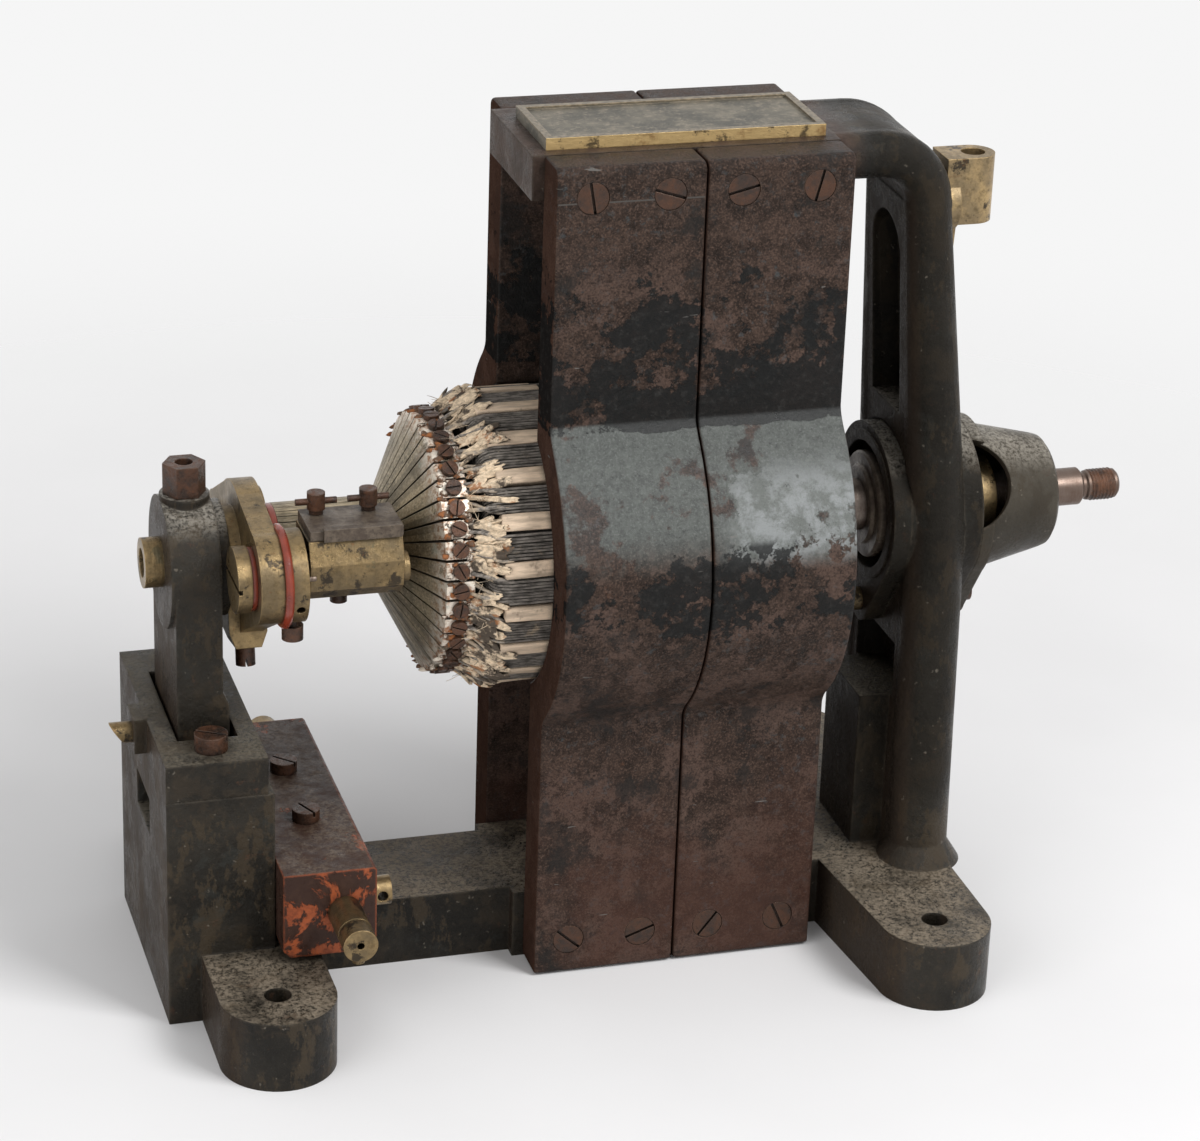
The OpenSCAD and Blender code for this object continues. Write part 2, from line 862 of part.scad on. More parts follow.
module inner_oil_flange() {
  color(iron)
    difference() {
      union() {
        along_x(house_x0 - flange_t, house_x0)
          pear(0);
        on_shaft(house_x0 - flange_t - 0.6, house_x0 - 1, house_r - 3.5);
      }
      on_shaft(house_x0 - 3, house_x0 + 1, rear_bush_r + seat_fit);
      on_shaft(house_x0 - flange_t - 1, house_x0 - 1.9, house_r - 8);
      rod_x_at(house_x0 - 20, house_x0 + 1, 0, shaft_z - tail_d, cover_screw_r + seat_fit);
    }
}

module inner_flange_screw() {
  color(brass)
    translate([house_x0 - flange_t, 0, shaft_z - tail_d])
      rotate([0, -90, 0])
        slotted_screw(5, 5.5, cover_screw_r, flange_t + 12, 20);
}

// Conical cover with a closed outer end and a round notch in its front
module oil_bell() {
  color(iron)
    difference() {
      union() {
        along_x(house_x1, bell_x0)
          pear(0);
        turned()
          polygon([[0, bell_x0 - 1], [house_r - 4, bell_x0 - 1], [house_r - 4, bell_x0 + 2],
                   [house_r - 10.5, bell_x1 - 4], [house_r - 11.3, bell_x1 - 1.5],
                   [house_r - 13.3, bell_x1], [0, bell_x1]]);
      }
      turned()
        polygon([[0, house_x1 - 1], [rear_bush_r + seat_fit, house_x1 - 1],
                 [rear_bush_r + seat_fit, house_x1 + 2], [house_r - 7.2, house_x1 + 2],
                 [house_r - 7.2, bell_x0], [house_r - 13.7, bell_x1 - 5], [0, bell_x1 - 5]]);
      on_shaft(bell_x1 - 6, bell_x1 + 1, pulley_r + 1.7);
      translate([bell_x0 - 9, 0, shaft_z])
        rotate([58, 0, 0])
          translate([0, 0, rear_bush_r + 3])
            cylinder(h = 40, r = 19);
      rod_x_at(house_x1 - 1, bell_x0 + 1, 0, shaft_z - tail_d, cover_screw_r + seat_fit);
    }
}

module bell_screw() {
  color(rusty)
    translate([bell_x0, 0, shaft_z - tail_d])
      rotate([0, 90, 0])
        slotted_screw(5, 5, cover_screw_r, bell_flange_t + 9, 20);
}

// Brass bracket on the outer face of the upright, with a plain bore for an upright rod
module top_bracket() {
  color(brass)
    difference() {
      union() {
        difference() {
          union() {
            rod_x_at(up_x_top - bracket_disc_r, bracket_x - bracket_bore_r - 3,
                     0, bracket_z, bracket_disc_r);
            along_y(bracket_boss_r)
              polygon([[up_x_top, bracket_z], [bracket_x - bracket_bore_r - 1.4, bracket_z],
                       [bracket_x - bracket_bore_r - 3, bracket_z - 30],
                       [web_out(bracket_foot) + 2, bracket_foot], [up_x_top, bracket_foot]]);
            translate([bracket_x - 14, -bracket_boss_r, bracket_z - 8])
              cube([14, 2 * bracket_boss_r, bracket_h]);
            translate([bracket_x, 0, bracket_z - 8])
              cylinder(h = bracket_h, r = bracket_boss_r);
          }
          along_y(60)
            polygon([[web_out(bend_z + 20) + 0.15, bend_z + 20], [0, bend_z + 20], [0, shaft_z],
                     [web_out(shaft_z) + 0.15, shaft_z]]);
          along_y(60)
            translate([bend_x, bend_z])
              circle(r = bend_r + rib_r_top - rib_set + 0.03, $fn = 128);
        }
        rod_x_at(web_out(bracket_z) - 5, bracket_x - 12, 0, bracket_z, bracket_dowel_r);
      }
      translate([bracket_x, 0, bracket_z - 20])
        cylinder(h = 60, r = bracket_bore_r);
    }
}

module shaft() {
  end = bell_x1 + pulley_l;
  color(steel)
    turned()
      polygon([[0, shaft_x0], [journal_r - 1, shaft_x0], [journal_r, shaft_x0 + 1],
               [journal_r, shoulder_x], [neck_r, shoulder_x], [neck_r, riser_x0 - 0.2],
               [shaft_r, riser_x0 - 0.2], [shaft_r, rear_bush_x1 + 3],
               [pulley_r + 1.2, rear_bush_x1 + 3], [pulley_r + 1.2, bell_x1 + 2.5],
               [pulley_r, bell_x1 + 2.5], [pulley_r, end - 1], [pulley_r - 1, end],
               [thread_r - 0.8, end], [thread_r - 0.8, end + 2], [thread_r, end + 2.8],
               [thread_r, end + thread_l - 1.2], [thread_r - 1.2, end + thread_l],
               [0, end + thread_l]]);
}

module drum_core() {
  color(iron)
    difference() {
      on_shaft(drum_x0, drum_x1, core_r);
      on_shaft(drum_x0 - 1, drum_x1 + 1, shaft_r + seat_fit);
    }
}

// Ring of wooden pegs standing on the core between the coils
module pegs(x0) {
  for (k = [0:2 * coil_count - 1])
    translate([0, 0, shaft_z])
      rotate([180 / coil_count * (k + 0.5), 0, 0])
        intersection() {
          translate([x0, -peg_w / 2, core_r - 5])
            cube([peg_l, peg_w, peg_h + 10]);
          translate([x0 - 1, 0, 0])
            rotate([0, 90, 0])
              difference() {
                cylinder(h = peg_l + 2, r = core_r + peg_h, $fn = 128);
                translate([0, 0, -1])
                  cylinder(h = peg_l + 4, r = core_r + seat_fit, $fn = 128);
              }
        }
}

module drum_pegs_left() {
  color(wood)
    pegs(peg_x0);
}

module drum_pegs_right() {
  color(wood)
    pegs(drum_x1 - peg_l + 4);
}

// Points of a coil, as X, distance along its slot direction and offset beside it.
// Wire i lies at side_at(i) in both slots and passes the shaft at pass_at(i).
function side_at(i) = (i - (loops - 1) / 2) * wire_pitch;
function pass_at(i) = i < 1 ? -pass_d : pass_d + (i - 1) * wire_pitch;
// Half of a crossing: corner at the slot, then in to the level where it passes the shaft
function half_cross(bend, out, level, side, pass) = [
  for (a = [0:30:90]) [bend - out * 6 * (1 - sin(a)), wind_r - 6 * (1 - cos(a)), side],
  [level, 36, side], [level, 10, pass]];
function flip_rev(p) = [for (i = [len(p) - 1:-1:0]) [p[i][0], -p[i][1], p[i][2]]];
function cross_right(k, i) = concat(
  half_cross(bend_right, 1, first_right + k * level_right, side_at(i), pass_at(i)),
  flip_rev(half_cross(bend_right, 1, first_right + k * level_right, side_at(i), pass_at(i))));
function cross_left(k, i) = [for (p = concat(
  half_cross(bend_left, -1, first_left - k * level_left, side_at(i), pass_at(i)),
  flip_rev(half_cross(bend_left, -1, first_left - k * level_left, side_at(i + 1), pass_at(i)))))
  [p[0], -p[1], p[2]]];
function coil_path(k) = concat(
  [[bend_left + 6, wind_r, side_at(0)]],
  [for (i = [0:loops - 1]) each concat(cross_right(k, i), i < loops - 1 ? cross_left(k, i) : [])],
  [[bend_left + 6, -wind_r, side_at(loops - 1)]]);

// Least gap of a tube to itself, measured from points along each straight piece to the others
function to_line(q, a, b) = let (t = max(0, min(1, (q - a) * (b - a) / ((b - a) * (b - a)))))
  norm(q - a - t * (b - a));
function seg_gap(p, i, j) = min([for (s = [0:0.25:1])
  to_line(p[i] + s * (p[i + 1] - p[i]), p[j], p[j + 1])]);
function least_gap(p) = min([for (i = [0:len(p) - 2]) for (j = [0:len(p) - 2])
  if (abs(i - j) > 4) seg_gap(p, i, j)]) - 2 * wire_r;

function unit(v) = v / norm(v);
function tangent(p, i) = unit(p[min(i + 1, len(p) - 1)] - p[max(i - 1, 0)]);
sides = 6;
// One ring of points round the tube, squared to the tube's direction
function tube_ring(p, i) = let (t = tangent(p, i), b = unit(cross(t, [0, 0, 1])), n = cross(b, t))
  [for (s = [0:sides - 1]) p[i] + wire_r * (cos(360 / sides * s) * n + sin(360 / sides * s) * b)];

module tube(p) {
  n = len(p);
  points = [for (i = [0:n - 1]) each tube_ring(p, i)];
  walls = [for (i = [0:n - 2]) for (s = [0:sides - 1]) each [
    [i * sides + s, i * sides + (s + 1) % sides, (i + 1) * sides + s],
    [i * sides + (s + 1) % sides, (i + 1) * sides + (s + 1) % sides, (i + 1) * sides + s]]];
  start = [for (s = [1:sides - 2]) [0, s + 1, s]];
  stop = [for (s = [1:sides - 2]) [(n - 1) * sides, (n - 1) * sides + s, (n - 1) * sides + s + 1]];
  polyhedron(points = points, faces = concat(walls, start, stop), convexity = 10);
}

module armature_winding() {
  echo(least_wire_gap = least_gap(coil_path(0)));
  color(cotton)
    for (k = [0:coil_count - 1])
      translate([0, 0, shaft_z])
        rotate([180 / coil_count * k, 0, 0])
          multmatrix([[1, 0, 0, 0], [0, 0, -1, 0], [0, 1, 0, 0], [0, 0, 0, 1]])
            tube(coil_path(k));
}

module lead_ends() {
  color(cream)
    for (k = [0:comm_count - 1])
      translate([0, 0, shaft_z])
        rotate([360 / comm_count * k, 0, 0])
          translate([riser_x1, 0, riser_r - 1.6])
            rotate([0, 90, 0])
              cylinder(h = 6, r1 = 2, r2 = 1.2);
}

// One sector for each commutator bar, from a drawing of radius and X
module comm_sectors() {
  step = 360 / comm_count;
  for (k = [0:comm_count - 1])
    translate([0, 0, shaft_z])
      rotate([0, 90, 0])
        rotate([0, 0, 180 + step * k - step / 2 + comm_slit / 2])
          rotate_extrude(angle = step - comm_slit, $fn = 128)
            children();
}

module commutator_bars() {
  color(brass)
    comm_sectors()
      polygon([[comm_in_r, comm_x0], [comm_r, comm_x0], [comm_r, comm_x1], [comm_in_r, comm_x1]]);
}

// Conical flags from the bars out to a band that carries the screws
module commutator_risers() {
  color(brass)
    difference() {
      comm_sectors()
        polygon([[comm_in_r, comm_x1], [comm_r, comm_x1], [riser_r, riser_x0],
                 [riser_r, riser_x1], [riser_r - 5, riser_x1], [riser_r - 5, riser_x0 + 2],
                 [comm_r - 1.4, comm_x1 + 3.8], [comm_in_r, comm_x1 + 3.8]]);
      riser_screw_at()
        cylinder(h = 20, r = 1.4 + seat_fit, center = true);
    }
}

// Every riser screw's place, with Z pointing out from the shaft
module riser_screw_at() {
  for (k = [0:comm_count - 1])
    translate([0, 0, shaft_z])
      rotate([360 / comm_count * k, 0, 0])
        translate([(riser_x0 + riser_x1) / 2, 0, riser_r])
          rotate([0, 0, 73 * k])
            children();
}

module riser_screws() {
  color(rusty)
    riser_screw_at()
      slotted_screw(riser_screw_r, 2.2, 1.4, 4.6, 0);
}

// Insulating sleeve with a cone behind the risers
module commutator_hub() {
  slope = (riser_x0 + 2 - comm_x1 - 3.8) / (riser_r - 5 - comm_r + 1.4);
  in_r = neck_r + seat_fit;
  back = riser_x0 - 0.25;
  color(wood)
    turned()
      polygon([[in_r, comm_x0 - 0.05], [comm_in_r - seat_fit, comm_x0 - 0.05],
               [comm_in_r - seat_fit, comm_x1 + 3.85], [comm_r - 1.4, comm_x1 + 3.85],
               [comm_r - 1.45 + (back - comm_x1 - 3.85) / slope, back], [in_r, back]]);
}

module commutator_end_ring() {
  color(rusty)
    difference() {
      on_shaft(ring_x0, comm_x0 - 0.1, comm_r);
      on_shaft(ring_x0 - 1, comm_x0 + 1, neck_r + seat_fit);
    }
}

module oil_thrower() {
  x1 = rear_bush_x0 - 0.5;
  color(steel)
    turned()
      polygon([[shaft_r + seat_fit, x1 - 6], [16, x1 - 6], [17, x1 - 4.5], [21.5, x1 - 4.5],
               [22.5, x1 - 3.5], [22.5, x1], [shaft_r + seat_fit, x1]]);
}

// Place a drawing of the rocker, with its arms level along Y, at its resting tilt
module rocker_at() {
  translate([0, 0, shaft_z])
    rotate([-rocker_tilt, 0, 0])
      children();
}

// Straight flanks from the rocker's plate to an arm's end, set in from both circles
module rocker_flanks(s) {
  near = plate_r - flank_set;
  far = arm_r - flank_set;
  polygon([for (e = [-1, 1]) [s * near * cos(flank_a), e * near * sin(flank_a)],
           for (e = [1, -1]) [s * (spindle_d + far * cos(flank_a)), e * far * sin(flank_a)]]);
}

module brush_rocker() {
  color(brass)
    rocker_at()
      difference() {
        union() {
          along_x(arm_x0, arm_x1) {
            circle(r = plate_r, $fn = 128);
            for (s = [-1, 1]) {
              translate([s * spindle_d, 0])
                circle(r = arm_r);
              rocker_flanks(s);
            }
          }
          along_x(hub_x0, arm_x0 + 1)
            circle(r = spigot_r + 6.5, $fn = 128);
          along_x(arm_x1 - 1, hub_x1)
            circle(r = spindle_d - flange_r - 0.4, $fn = 128);
          // Boss for the locking screw
          along_y(18)
            polygon([[hub_x0, -12], [hub_x0, -spigot_r - 16], [hub_x0 + 2.5, -spigot_r - 22.5],
                     [hub_x1 - 2.5, -spigot_r - 22.5], [hub_x1, -spigot_r - 16], [hub_x1, -12]]);
        }
        along_x(hub_x0 - 1, hub_x1 + 1)
          circle(r = spigot_r + run_fit, $fn = 128);
        for (s = [-1, 1])
          along_x(arm_x0 - 1, arm_x1 + 1)
            translate([s * spindle_d, 0])
              circle(r = spindle_r + 3 + seat_fit);
        translate([(hub_x0 + hub_x1) / 2, 0, -spigot_r - 40])
          cylinder(h = 40, r = 2.6 + seat_fit);
      }
}

module rocker_set_screw() {
  color(rusty)
    rocker_at()
      translate([(hub_x0 + hub_x1) / 2, 0, -spigot_r - 24])
        rotate([180, 0, 0])
          slotted_screw(4, 7.5, 2.6, 23.5, 95);
}

module spindle() {
  head_x0 = arm_x0 - washer_t - 5.6;
  translate([0, spindle_y, spindle_z]) {
    difference() {
      rod_x_at(head_x0, arm_x0 - washer_t, 0, 0, spindle_head_r);
      translate([head_x0 - 1, -spindle_head_r - 1, -1])
        cube([2.6, 2 * spindle_head_r + 2, 2]);
    }
    rod_x_at(arm_x0 - washer_t - 0.5, spindle_x1, 0, 0, spindle_r);
  }
}

module spindle_front() {
  color(brass)
    spindle();
}

module spindle_back() {
  color(brass)
    to_back()
      spindle();
}

// Flanged sleeve on the collar side and a washer under the spindle head
module insulators() {
  translate([0, spindle_y, spindle_z]) {
    difference() {
      union() {
        rod_x_at(arm_x0, arm_x1 + 1, 0, 0, spindle_r + 3);
        translate([arm_x1, 0, 0])
          rotate([0, 90, 0])
            rotate_extrude()
              polygon([[0, 0], [flange_r - 1, 0], [flange_r, 1], [flange_r, ring_t - 1],
                       [flange_r - 1, ring_t], [0, ring_t]]);
      }
      rod_x_at(arm_x0 - 1, collar_x0 + 1, 0, 0, spindle_r + seat_fit);
    }
    difference() {
      rod_x_at(arm_x0 - washer_t, arm_x0 - 0.03, 0, 0, spindle_head_r - 0.6);
      rod_x_at(arm_x0 - washer_t - 1, arm_x0 + 1, 0, 0, spindle_r + seat_fit);
    }
  }
}

module insulators_front() {
  color(red)
    insulators();
}

module insulators_back() {
  color(red)
    to_back()
      insulators();
}

// Collar with a radial tommy hole and a locking screw, turned about its spindle
module collar(turn) {
  translate([0, spindle_y, spindle_z])
    rotate([turn, 0, 0])
      difference() {
        rod_x_at(collar_x0, collar_x1, 0, 0, arm_r);
        rod_x_at(collar_x0 - 1, collar_x1 + 1, 0, 0, spindle_r + seat_fit);
        translate([(collar_x0 + collar_x1) / 2, 0, 0]) {
          rotate([115, 0, 0])
            translate([0, 0, arm_r - 8])
              cylinder(h = 20, r = 1.8);
          rotate([180, 0, 0])
            cylinder(h = 40, r = 2.2 + seat_fit);
        }
      }
}

module collar_screw(turn) {
  translate([(collar_x0 + collar_x1) / 2, spindle_y, spindle_z])
    rotate([180 + turn, 0, 0])
      translate([0, 0, flange_r + 0.4])
        slotted_screw(4.3, 6, 2.2, flange_r - spindle_r, 15);
}

module collar_front() {
  color(brass)
    collar(0);
}

module collar_back() {
  color(brass)
    to_back()
      collar(-90);
}

module collar_screw_front() {
  color(rusty)
    collar_screw(0);
}

module collar_screw_back() {
  color(rusty)
    to_back()
      collar_screw(-90);
}

// Tee screw places on a holder, as X from one screw to the other
function tee_at(e) = tee_x + e * tee_pitch / 2;

// Faceted holder that swings on its spindle
module holder() {
  translate([0, spindle_y, spindle_z])
    difference() {
      along_x(holder_x0, holder_x1)
        polygon([[-4, -9], [-9, -4], [-10.5, 7], [-6.5, holder_top], [17.5, holder_top],
                 [17.5, 9], [8, -9]]);
      rod_x_at(holder_x0 - 1, holder_x1 + 1, 0, 0, spindle_r + run_fit);
      for (e = [-1, 1])
        translate([tee_at(e), tee_y, holder_top - tee_hole_d])
          cylinder(h = holder_top, r = 1.9 + run_fit);
    }
}

module holder_front() {
  color(brass)
    holder();
}

module holder_back() {
  color(brass)
    to_back()
      holder();
}

// Clamp plate with a raised bar along its front edge
module clamp_plate() {
  translate([0, spindle_y, spindle_z])
    difference() {
      union() {
        translate([clamp_x0, -6, holder_top])
          cube([clamp_x1 - clamp_x0, 24, clamp_t]);
        translate([clamp_x0 + 5, -8.5, holder_top + 0.3])
          cube([clamp_x1 - clamp_x0 - 6, 3.5, clamp_t + 1.2]);
      }
      for (e = [-1, 1])
        translate([tee_at(e), tee_y, holder_top - 1])
          cylinder(h = 20, r = 1.9 + run_fit);
    }
}

module clamp_plate_front() {
  color(rusty)
    clamp_plate();
}

module clamp_plate_back() {
  color(rusty)
    to_back()
      clamp_plate();
}

// Barrel on a thin shank with a cross pin through it
module tee_screw(e) {
  translate([tee_at(e), spindle_y + tee_y, spindle_z + holder_top + clamp_t + 0.05]) {
    translate([0, 0, tee_neck])
      cylinder(h = tee_h, r = tee_r);
    translate([0, 0, 2 - clamp_t - tee_hole_d])
      cylinder(h = clamp_t + tee_hole_d, r = 1.9);
    cylinder(h = tee_neck + 0.5, r = tee_r - 0.8);
    rod_x_at(-tee_pin_l / 2, tee_pin_l / 2, 0, tee_neck + tee_h * 0.45, 1.3);
  }
}

module tee_screw_front_a() {
  color(rusty)
    tee_screw(-1);
}

module tee_screw_front_b() {
  color(rusty)
    tee_screw(1);
}

module tee_screw_back_a() {
  color(rusty)
    to_back()
      tee_screw(-1);
}

module tee_screw_back_b() {
  color(rusty)
    to_back()
      tee_screw(1);
}

main_frame();
pole_bar_front_left();
pole_bar_front_right();
pole_bar_back_left();
pole_bar_back_right();
front_bar_screws();
back_bar_screws();
nameplate();
pedestal_cap();
cap_screws();
oil_spout();
bearing_standard();
commutator_end_bush();
oil_plug();
terminal_block();
terminal_block_screws();
front_terminal();
back_terminal();
side_terminal();
binding_screws();
drive_end_bush();
inner_oil_flange();
inner_flange_screw();
oil_bell();
bell_screw();
top_bracket();
shaft();
drum_core();
drum_pegs_left();
drum_pegs_right();
armature_winding();
lead_ends();
commutator_bars();
commutator_risers();
riser_screws();
commutator_hub();
commutator_end_ring();
oil_thrower();
brush_rocker();
rocker_set_screw();
spindle_front();
spindle_back();
insulators_front();
insulators_back();
collar_front();
collar_back();
collar_screw_front();
collar_screw_back();
holder_front();
holder_back();
clamp_plate_front();
clamp_plate_back();
tee_screw_front_a();
tee_screw_front_b();
tee_screw_back_a();
tee_screw_back_b();
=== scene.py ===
"""Looks of the antique dynamo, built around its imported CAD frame."""

import math
import random

import bpy
from mathutils import Matrix, Vector


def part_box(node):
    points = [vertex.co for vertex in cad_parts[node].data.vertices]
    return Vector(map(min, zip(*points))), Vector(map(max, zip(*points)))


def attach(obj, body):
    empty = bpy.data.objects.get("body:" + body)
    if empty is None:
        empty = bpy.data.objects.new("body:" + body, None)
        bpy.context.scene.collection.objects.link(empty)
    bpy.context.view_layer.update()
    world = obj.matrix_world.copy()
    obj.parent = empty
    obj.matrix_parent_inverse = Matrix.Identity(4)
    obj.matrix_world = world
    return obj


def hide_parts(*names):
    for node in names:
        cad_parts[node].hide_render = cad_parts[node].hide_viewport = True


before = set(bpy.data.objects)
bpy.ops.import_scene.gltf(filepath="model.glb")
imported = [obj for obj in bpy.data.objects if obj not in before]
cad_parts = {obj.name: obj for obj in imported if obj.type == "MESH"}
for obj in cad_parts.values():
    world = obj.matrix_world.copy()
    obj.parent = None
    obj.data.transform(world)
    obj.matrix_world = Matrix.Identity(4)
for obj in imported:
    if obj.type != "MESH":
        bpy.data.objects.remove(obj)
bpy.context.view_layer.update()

bl_info = {
    "name": "Antique Dynamo Looks",
    "version": (1, 0, 0),
    "blender": (4, 5, 0),
    "location": "View3D > Sidebar > Dynamo",
    "description": "Finishes, wound pieces and studio of a two-pole dynamo",
    "category": "Object",
}

SHAFT_Z = 0.18
TURN = 2 * math.pi
RISERS = 40
PEGS = 20
SHARP = math.radians(40)


def tint(name, words, default):
    """A colour that a user may change."""
    return bpy.props.FloatVectorProperty(
        name=name, description=words, default=default, subtype="COLOR", size=3, min=0, max=1
    )


def length(name, words, default):
    """A size that a user may change, in metres."""
    return bpy.props.FloatProperty(
        name=name, description=words, default=default, subtype="DISTANCE", unit="LENGTH", min=0
    )


def share(name, words, default):
    """A plain factor that a user may change."""
    return bpy.props.FloatProperty(
        name=name, description=words, default=default, subtype="FACTOR", min=0, max=1
    )


class FinishColours(bpy.types.PropertyGroup):
    """Colours of the dynamo's finishes."""

    iron: tint("Iron", "Forged skin of the pole bars", (0.0385, 0.0246, 0.0186))
    rust: tint("Rust", "Rust on bars, screws and plug", (0.105, 0.046, 0.024))
    slate: tint("Slate", "Worn paint on the pole bulges", (0.086, 0.093, 0.086))
    paint: tint("Paint", "Old black paint on the castings", (0.0205, 0.0178, 0.0138))
    brass: tint("Brass", "Aged brass of the brush gear", (0.235, 0.165, 0.08))
    gold: tint("Gold", "Bright brass on the nameplate's edge", (0.6, 0.43, 0.2))
    fibre: tint("Fibre", "Red insulating fibre", (0.27, 0.04, 0.018))
    wood: tint("Wood", "Wooden pegs on the drum", (0.86, 0.665, 0.485))
    cotton: tint("Cotton", "Black cotton on the wires", (0.092, 0.082, 0.072))
    tape: tint("Tape", "Cream tape on the lead ends", (0.9, 0.715, 0.51))
    steel: tint("Steel", "Shaft steel", (0.3, 0.25, 0.215))
    wear: share("Wear", "How far edges are worn", 0.7)


class WoundSettings(bpy.types.PropertyGroup):
    """Sizes of the winding, its leads and the thread."""

    wire: length("Wire radius", "Covered wire of the coils", 0.00062)
    pitch: length("Wire pitch", "Distance between neighbouring wires", 0.00132)
    turns: bpy.props.IntProperty(
        name="Turns", description="Turns in one layer of a coil", default=8, min=3
    )
    lead: length("Lead radius", "Covered lead to a riser", 0.0009)
    peg: length("Peg width", "Wooden pegs between the slots", 0.0064)
    strip: length("Strip width", "Torn tape on the lead ends", 0.0072)
    thread_pitch: length("Thread pitch", "Pitch of the shaft's end thread", 0.0016)
    bar_round: length("Bar rounding", "Rounding of the pole bars' edges", 0.0013)


class StageSettings(bpy.types.PropertyGroup):
    """Floor and light."""

    floor: tint("Floor", "Pale floor", (0.84, 0.835, 0.84))
    floor_size: length("Floor size", "Side of the floor", 12.0)
    key_power: bpy.props.FloatProperty(
        name="Key light", description="Power of the key light", default=33.0, unit="POWER", min=0
    )
    fill_power: bpy.props.FloatProperty(
        name="Fill light", description="Power of the fill light", default=11.0, unit="POWER", min=0
    )
    sky: share("Sky", "Strength of the light from all round", 0.6)


class Nodes:
    """The node tree of a material or a world."""

    def __init__(self, owner):
        owner.use_nodes = True
        self.nodes = owner.node_tree.nodes
        self.links = owner.node_tree.links

    def add(self, kind, feeds=None, **settings):
        """A new node with these settings, its sockets fed by name or number."""
        node = self.nodes.new(kind)
        for key, value in settings.items():
            setattr(node, key, value)
        for key, value in (feeds or {}).items():
            self.feed(node.inputs[key], value)
        return node

    def feed(self, socket, value):
        """Link an output to a socket, or set the socket to a constant."""
        if isinstance(value, bpy.types.NodeSocket):
            self.links.new(value, socket)
        elif socket.type == "RGBA":
            socket.default_value = (*value, 1.0)
        else:
            socket.default_value = value

    def maths(self, operation, a, b=0.0):
        """One sum on two values."""
        return self.add("ShaderNodeMath", {0: a, 1: b}, operation=operation).outputs[0]


class Finish(Nodes):
    """One procedural material on the object's own coordinates."""

    def __init__(self, name, metallic=0.0, specular=0.5, coat=0.0, corner=0.0009):
        self.material = bpy.data.materials.new(name)
        super().__init__(self.material)
        self.colour = None
        self.shader = self.nodes["Principled BSDF"]
        plain = {"Metallic": metallic, "Specular IOR Level": specular, "Coat Weight": coat}
        for key, value in plain.items():
            self.feed(self.shader.inputs[key], value)
        place = self.add("ShaderNodeTexCoord")
        self.where = place.outputs["Object"]
        self.facing = self.split(place.outputs["Normal"])
        self.axis = self.split(self.where)
        self.soft = self.add("ShaderNodeBevel", {"Radius": corner}, samples=4).outputs[0]

    def split(self, vector):
        """X, Y and Z of a vector."""
        return self.add("ShaderNodeSeparateXYZ", {0: vector}).outputs

    def noise(self, scale, detail, rough, stretch=None, twist=0.0):
        """Cloudy noise with cells of about 1 / scale metres; stretch scales it along each axis."""
        place = self.where
        if stretch:
            place = self.add("ShaderNodeMapping", {"Vector": place, "Scale": stretch}).outputs[0]
        feeds = {"Vector": place, "Scale": scale, "Detail": detail, "Roughness": rough, "Distortion": twist}
        return self.add("ShaderNodeTexNoise", feeds).outputs["Fac"]

    def ramp(self, value, low, high, top=1.0):
        """0 at low and top at high, smoothly."""
        feeds = {"Value": value, "From Min": low, "From Max": high, "To Max": top}
        return self.add("ShaderNodeMapRange", feeds, interpolation_type="SMOOTHSTEP").outputs["Result"]

    def raised(self, base, value, low, high, top):
        """The base at low, and the base and top together at high."""
        return self.maths("ADD", self.ramp(value, low, high, top), base)

    def both(self, *masks):
        """Masks multiplied together."""
        result = masks[0]
        for mask in masks[1:]:
            result = self.maths("MULTIPLY", result, mask)
        return result

    def mix(self, mask, under, over):
        """Colour over laid on colour under by a mask."""
        return self.add("ShaderNodeMix", {0: mask, 6: under, 7: over}, data_type="RGBA").outputs[2]

    def blend(self, value, low, high, under, over, top=1.0):
        """Colour under at low, turning to colour over by the share top at high."""
        return self.mix(self.ramp(value, low, high, top), under, over)

    def cover(self, mask, over):
        """Lay a colour on the finish by a mask."""
        self.colour = self.mix(mask, self.colour, over)

    def tinge(self, value, low, high, over, top=1.0):
        """Lay a colour on the finish as a value runs from low to high."""
        self.cover(self.ramp(value, low, high, top), over)

    def edges(self, reach):
        """1 on sharp outer corners, from the rounded normal against the true one."""
        true = self.add("ShaderNodeNewGeometry").outputs["Normal"]
        dot = self.add("ShaderNodeVectorMath", {0: self.soft, 1: true}, operation="DOT_PRODUCT")
        return self.ramp(dot.outputs["Value"], 0.992, reach)

    def rub(self, reach, over, *masks):
        """Lay a colour on sharp outer corners, held back by masks."""
        self.cover(self.both(self.edges(reach), *masks), over)

    def shade_and_grime(self, distance, amount, over):
        """Lay a dark colour in hollows and corners found by ambient occlusion: painted shade, with some
        dirt.
        """
        node = self.add("ShaderNodeAmbientOcclusion", {"Distance": distance}, samples=4)
        self.cover(self.both(self.ramp(node.outputs["AO"], 0.75, 0.25), amount), over)

    def finish(self, roughness, *relief):
        """Feed the shader; each relief is a height and its depth in metres."""
        normal = self.soft
        for height, depth in relief:
            feeds = {"Height": height, "Distance": depth, "Normal": normal}
            normal = self.add("ShaderNodeBump", feeds).outputs[0]
        for key, value in (("Base Color", self.colour), ("Roughness", roughness), ("Normal", normal)):
            self.feed(self.shader.inputs[key], value)
        return self.material


def shade(colour, factor):
    """A colour made darker or lighter."""
    return tuple(min(1.0, c * factor) for c in colour)


def pair(name):
    """The front and the back node of a kind."""
    return name + "_front", name + "_back"


def dress(material, *names):
    """Give CAD nodes their finish."""
    for name in names:
        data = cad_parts[name].data
        data.materials.clear()
        data.materials.append(material)


